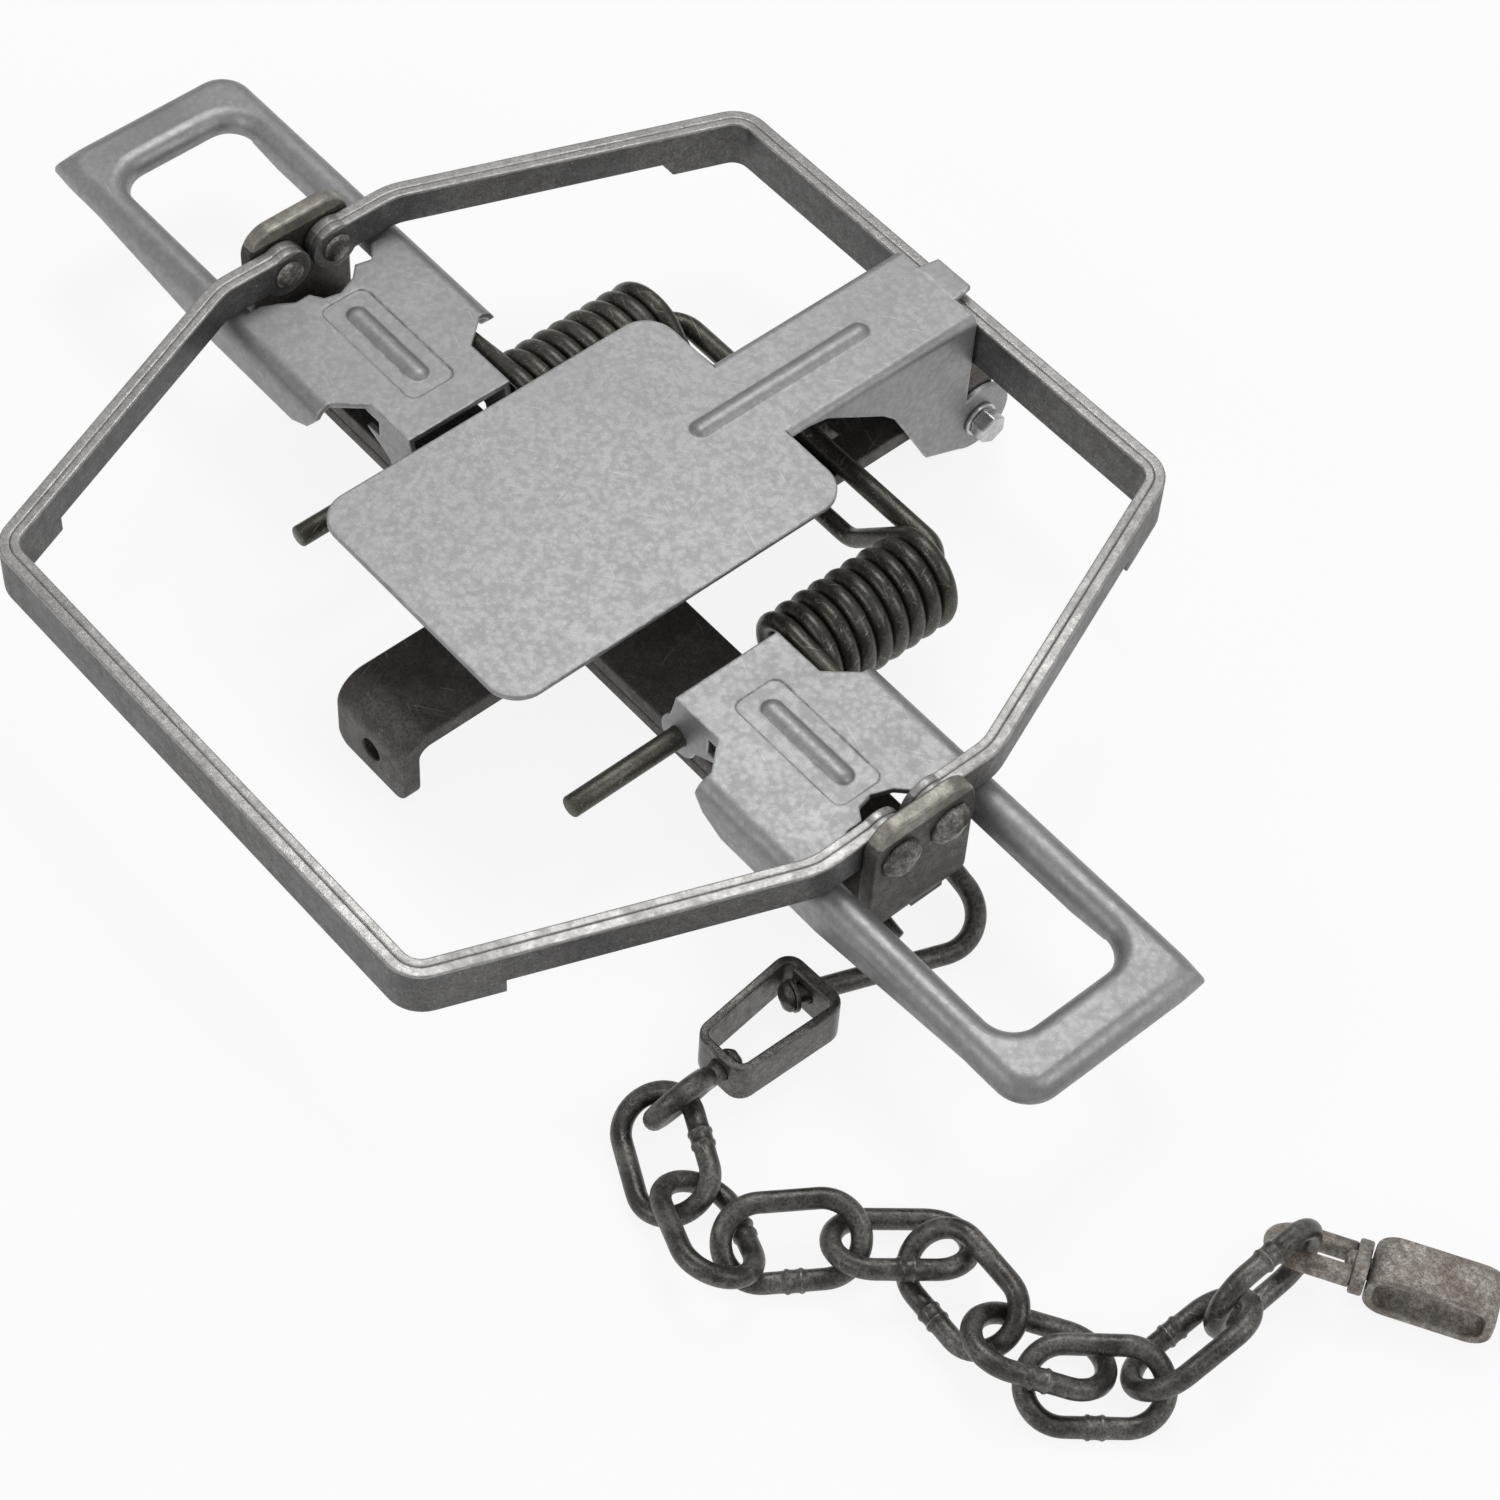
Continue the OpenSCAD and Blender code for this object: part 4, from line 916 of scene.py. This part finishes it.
@dataclass
class LeadSwivel(Assembly):
    """The formed ring with its shank, the first swivel band and the riveted eye.

    Attributes:
        wire: Diameter of the ring's wire.
        at: Middle of the ring's straight bar.
        slope: Downward slope of the ring, in degrees.
        round_r: Mean radius of its round side.
        reach: Distance from the bar to the middle of the round side.
        corner_r: Mean radius of the corners beside the bar.
        turn: Angle at which the shank leaves, in degrees.
        shank: Length of the shank with its head.
        hook_at: Middle of the riveted eye.
        hook_r: Its mean radius.
        hook_turn: Its yaw, rise and roll, in degrees.
        hook_wall: Distance from its middle to the band's inner face.
        sunk: How far its shank reaches into the band's wall.
        head_h: Height of both heads.
        heads: Radii of the ring's and the eye's heads.
    """

    wire: float = 4.8
    at: Triple = (97.0, 6.0, -2.55)
    slope: float = 16.0
    round_r: float = 10.6
    reach: float = 11.8
    corner_r: float = 4.0
    turn: float = 19.0
    shank: float = 39.0
    hook_at: Triple = (112.0, -67.5, -3.3)
    hook_r: float = 6.8
    hook_turn: Triple = (-84.5, 9.4, 70.0)
    hook_wall: float = 14.9
    sunk: float = 1.2
    head_h: float = 2.4
    heads: Pair = (3.3, 3.0)

    def build(self) -> None:
        """Builds the ring, the band and the eye."""
        self._ring()
        self.shop.refined("swivel_washer", Kind.CHAIN_WIRE, "ring", edge=0.2)
        self.shop.refined("swivel_box", Kind.CHAIN_WIRE, "swivel", edge=0.5)
        self._hook()

    def _ring(self) -> None:
        """Builds the ring and its headed shank of one wire."""
        r, c, reach = self.round_r, self.corner_r, self.reach
        turn = math.radians(self.turn)
        start = Vector((reach + r * math.cos(turn), -r * math.sin(turn), 0))
        way = Vector((-math.sin(turn), -math.cos(turn), 0))
        route = arc((reach, 0), r, -82, -90, 2) + arc((c, c - r), c, -90, -180, 8)
        route += arc((c, r - c), c, 180, 90, 8) + arc((reach, 0), r, 90, -self.turn, 28)
        route += [start + share * self.shank * way for share in (0.1, 0.3, 0.6, 0.9, 0.97)]
        end = start + self.shank * way
        head = self._head(laid(end, math.degrees(math.atan2(way.y, way.x))), self.heads[0])
        bm = join(Wire(route, self.wire).mesh(), head)
        moved(bm, Matrix.Translation(self.at) @ Matrix.Rotation(math.radians(self.slope), 4, "Y"))
        self.shop.finish("ring_eye", "formed", bm, Kind.CHAIN_WIRE, "ring", sharp=45.0)

    def _head(self, place: Matrix, radius: float) -> Mesh:
        """Builds a peened head whose top stands at the place's own origin and looks along its X.

        Args:
            place: Where it goes.
            radius: Its radius.

        Returns:
            The head's mesh.
        """
        h = self.head_h
        profile = [(-h, 0.0), (-h, 0.9 * radius), (-0.88 * h, radius), (-0.55 * h, 0.97 * radius),
                   (-0.25 * h, 0.8 * radius), (-0.06 * h, 0.45 * radius), (0.0, 0.0)]
        bm = lathe(profile, place, 32)
        hammered(bm, 0.2, 1.5)
        return bm

    def _hook(self) -> None:
        """Builds the eye whose shank is riveted into the band."""
        wall, r = self.hook_wall, self.hook_r
        end = Vector((-wall - self.sunk, 0, 0))
        shank = [end, *between(end, (-r, 0, 0), 5), Vector((-r, 0, 0))]
        ring = Wire(arc((0, 0), r, 0, 354, 59), self.wire, closed=True).mesh()
        head = self._head(laid((-wall - self.head_h, 0, 0), 180), self.heads[1])
        bm = join(Wire(shank, self.wire, blunt=0.0).mesh(), ring, head)
        moved(bm, laid(self.hook_at, *self.hook_turn))
        self.shop.finish("hook_eye", "formed", bm, Kind.CHAIN_WIRE, "hook", sharp=45.0)


@dataclass
class Chain(Assembly):
    """The nine welded links.

    Attributes:
        length: Mean length of a link.
        width: Mean width of a link.
        wire: Diameter of its wire.
        lie: Where each link lies: x, y, height above the ground, yaw, rise, roll and the weld's side.
    """

    length: float = 28.8
    width: float = 16.4
    wire: float = 4.6
    lie: tuple[tuple[float, ...], ...] = (
        (118.8, -77, 5.6, -26, -2, 22, 1), (138.8, -82.8, 8, -23, 15, -24, 1), (151.4, -71, 7.1, 54, 3, 33, -1),
        (165.8, -54, 6.4, 53, -5, -22, -1), (182.1, -52.1, 8.4, -6, 4, 30, -1), (202.2, -49.8, 8.4, 40, -14, -20, -1),
        (214.3, -45.4, 6, 49, 0, 26, -1), (220.7, -25.2, 9.1, 87, 11, -42, 1), (220.2, -4.7, 11.5, 92, -1, 87, 1))

    def build(self) -> None:
        """Builds every link."""
        for number, (x, y, height, yaw, rise, roll, side) in enumerate(self.lie, 1):
            bm = moved(self._link(side), laid((x, y, GROUND + height), yaw, rise, roll))
            self.shop.finish("chain_link_%d" % number, "welded", bm, Kind.CHAIN_WIRE, "link_%d" % number)

    def _link(self, side: float) -> Mesh:
        """Builds one link round its own middle.

        Args:
            side: The side of the weld, -1 or 1.

        Returns:
            The link's mesh.
        """
        half, r = (self.length - self.width) / 2, self.width / 2
        weld = [(-3.4, 1.0), (-2.2, 1.01), (-1.75, 1.15), (-1.35, 1.17), (-0.9, 1.07), (0.0, 1.04), (0.9, 1.08),
                (1.35, 1.18), (1.75, 1.14), (2.2, 1.01), (3.4, 1.0)]
        plain = [(x, 1.0) for x in (-4.0, -2.0, 0.0, 2.0, 4.0)]
        lower, upper = (weld, plain) if side < 0 else (plain, weld)
        route = [Vector((x, -r, 0)) for x, _ in lower] + arc((half, 0), r, -90, 90, 26)
        route += [Vector((-x, r, 0)) for x, _ in upper] + arc((-half, 0), r, 90, 270, 26)
        bend = [1.0] * 27
        swells = [share for _, share in lower] + bend + [share for _, share in upper] + bend
        return Wire(route, self.wire, closed=True, swells=swells).mesh()


@dataclass
class EndSwivel(Assembly):
    """The rusty swivel at the chain's free end.

    Attributes:
        at: Middle of the end eye.
        yaw: Where the swivel points, in degrees.
        roll: How far the eye is rolled, in degrees.
        wire: Diameter of the eye's wire.
        radius: Mean radius of the eye.
        arm: Length of its arms.
        rivet_r: Radius of the rivet.
        head: Where the rivet's inner head starts.
        core: Half sizes of the rectangle round which the band's corners turn.
        inner_r: Radius of the corners of the CAD band's inner face.
        thinner: How much thinner the band's wall is than the CAD's.
    """

    at: Triple = (219.5, 8.5, -4.0)
    yaw: float = 30.0
    roll: float = -35.0
    wire: float = 4.6
    radius: float = 6.2
    arm: float = 10.5
    rivet_r: float = 2.3
    head: float = 16.6
    core: Pair = (8.5, 1.9)
    inner_r: float = 1.8
    thinner: float = 1.2

    def build(self) -> None:
        """Builds the eye, its plate, the rivet and the band."""
        r, arm, head = self.radius, self.arm, self.head
        start, end = Vector((arm, r, 0)), Vector((arm, -r, 0))
        route = [start, *between(start, (0, r, 0), 4), *arc((0, 0), r, 90, 270, 28), *between((0, -r, 0), end, 4), end]
        bm = moved(Wire(route, self.wire).mesh(), laid(self.at, self.yaw, 0, self.roll))
        self.shop.finish("end_eye", "formed", bm, Kind.END_IRON, "end_eye")
        self.shop.refined("end_plate", Kind.END_IRON, "end_eye", edge=0.5)
        profile = [(arm - 2, 0), (arm - 1.9, 2.0), (arm - 1.3, 2.9), (arm, 3.0), (arm, self.rivet_r),
                   (head, self.rivet_r), (head, 3.0), (head + 0.9, 2.95), (head + 1.7, 2.5), (head + 2.3, 1.4),
                   (head + 2.4, 0)]
        bm = lathe(profile, laid(self.at, self.yaw), 36)
        hammered(bm, 0.3, 1.6)
        self.shop.finish("end_rivet", "peened", bm, Kind.END_IRON, "end_eye", sharp=50.0)
        self.shop.refined("end_swivel_box", Kind.END_IRON, "end_swivel", edge=0.5, copy=self._thin_band())

    def _thin_band(self) -> Mesh:
        """Moves the band's inner face out, so that it is as thin as the real strip.

        Returns:
            The band's copy with the thinner wall.
        """
        place = laid(self.at, self.yaw)
        bm = moved(self.shop.copied("end_swivel_box"), place.inverted())
        ends = [vert.co.x for vert in bm.verts]
        middle = (min(ends) + max(ends)) / 2
        half_x, half_z = self.core
        count = 0
        for vert in bm.verts:
            x, z = vert.co.x - middle, vert.co.z
            near = Vector((max(-half_x, min(half_x, x)), 0.0, max(-half_z, min(half_z, z))))
            out = Vector((x, 0.0, z)) - near
            if 0.1 < out.length < self.inner_r + 0.3:
                vert.co += out.normalized() * self.thinner
                count += 1
        log.info("end_band: %d corners moved out round %.2f", count, middle)
        return moved(bm, place)


@dataclass
class Studio:
    """The pale floor, the soft lights and the camera.

    Attributes:
        camera_at: Where the camera stands, in millimetres.
        aim: What it looks at.
        lean: Its turn about its own line of sight, in degrees.
        lens: Its focal length on a sensor 36 mm wide.
        world: Strength of the room's light on the object.
        glow: How much of the floor's own white the camera sees.
    """

    camera_at: Triple = (430.7, -364.6, 704.7)
    aim: Triple = (60.0, -4.2, 10.0)
    lean: float = 4.27
    lens: float = 95.8
    world: float = 0.5
    glow: float = 0.88

    def build(self) -> None:
        """Builds the floor, the room, the lamps and the camera."""
        self._floor()
        self._room()
        self._lamp("key", (-260.0, 330.0, 900.0), (420.0, 420.0), 3.2)
        self._lamp("side", (620.0, 260.0, 520.0), (300.0, 500.0), 1.2)
        self._lamp("front", (-120.0, -720.0, 520.0), (500.0, 260.0), 1.0)
        self._camera()
        bpy.context.scene.view_settings.view_transform = "Standard"

    def _camera(self) -> None:
        """Stands the camera where the photograph was taken from."""
        data = bpy.data.cameras.new("camera")
        data.lens, data.sensor_width = self.lens, 36.0
        data.clip_start, data.clip_end = 0.05, 20.0
        camera = placed("camera", data)
        place = Vector(self.camera_at)
        sight = (Vector(self.aim) - place).to_track_quat("-Z", "Y").to_matrix().to_4x4()
        lean = Matrix.Rotation(math.radians(self.lean), 4, "Z")
        camera.matrix_world = Matrix.Translation(place * MM) @ sight @ lean
        bpy.context.scene.camera = camera

    def _lamp(self, name: str, at: Point, size: Pair, power: float) -> None:
        """Hangs a soft box that faces the trap.

        Args:
            name: The lamp's name.
            at: Where it hangs, in millimetres.
            size: Its width and height, in millimetres.
            power: Its power in watts.
        """
        data = bpy.data.lights.new(name, "AREA")
        data.shape, data.size, data.size_y, data.energy = "RECTANGLE", size[0] * MM, size[1] * MM, power
        lamp = placed(name, data)
        lamp.location = Vector(at) * MM
        lamp.rotation_euler = (Vector(self.aim) - Vector(at)).to_track_quat("-Z", "Y").to_euler()

    def _floor(self) -> None:
        """Lays the pale floor, which shows white to the camera and keeps the trap's shadow."""
        bm = bmesh.new()
        bmesh.ops.create_grid(bm, x_segments=2, y_segments=2, size=3.0)
        floor = placed("floor", mesh_of("floor", moved(bm, Matrix.Translation((0, 0, GROUND * MM)))))
        material = bpy.data.materials.new("floor")
        board = NodeBoard.emptied(material)
        matt = board.add("BsdfDiffuse", {"Color": (0.82, 0.82, 0.82, 1.0)})
        white = board.add("Emission", {"Color": WHITE, "Strength": 1.0})
        path = board.add("LightPath").outputs
        seen = path["Is Camera Ray"]
        for ray in ("Is Glossy Ray", "Is Transmission Ray"):
            seen = board.math("MAXIMUM", seen, path[ray])
        share = board.math("MULTIPLY", seen, self.glow)
        mixed = board.add("MixShader", {0: share, 1: matt.outputs[0], 2: white.outputs[0]})
        board.give(board.add("OutputMaterial"), Surface=mixed.outputs[0])
        floor.data.materials.append(material)

    def _room(self) -> None:
        """Surrounds the trap with soft light, and with plain white where it is seen."""
        world = bpy.data.worlds.new("room")
        bpy.context.scene.world = world
        board = NodeBoard.emptied(world)
        room, white = (board.add("Background", {"Color": WHITE, "Strength": strength}).outputs[0]
                       for strength in (self.world, 1.0))
        seen = board.add("LightPath").outputs["Is Camera Ray"]
        mixed = board.add("MixShader", {0: seen, 1: room, 2: white})
        board.give(board.add("OutputWorld"), Surface=mixed.outputs[0])


def main() -> None:
    """Builds the studio and every sub-assembly in order."""
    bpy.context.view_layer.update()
    Studio().build()
    shop = Workshop()
    shop.dress_nodes()
    for assembly in (BaseFrame, AxleAndSprings, JawPair, LeverPair, PanSet, LeadSwivel, Chain, EndSwivel):
        log.info("building %s", assembly.__name__)
        assembly(shop).build()


if __name__ == "__main__":
    main()
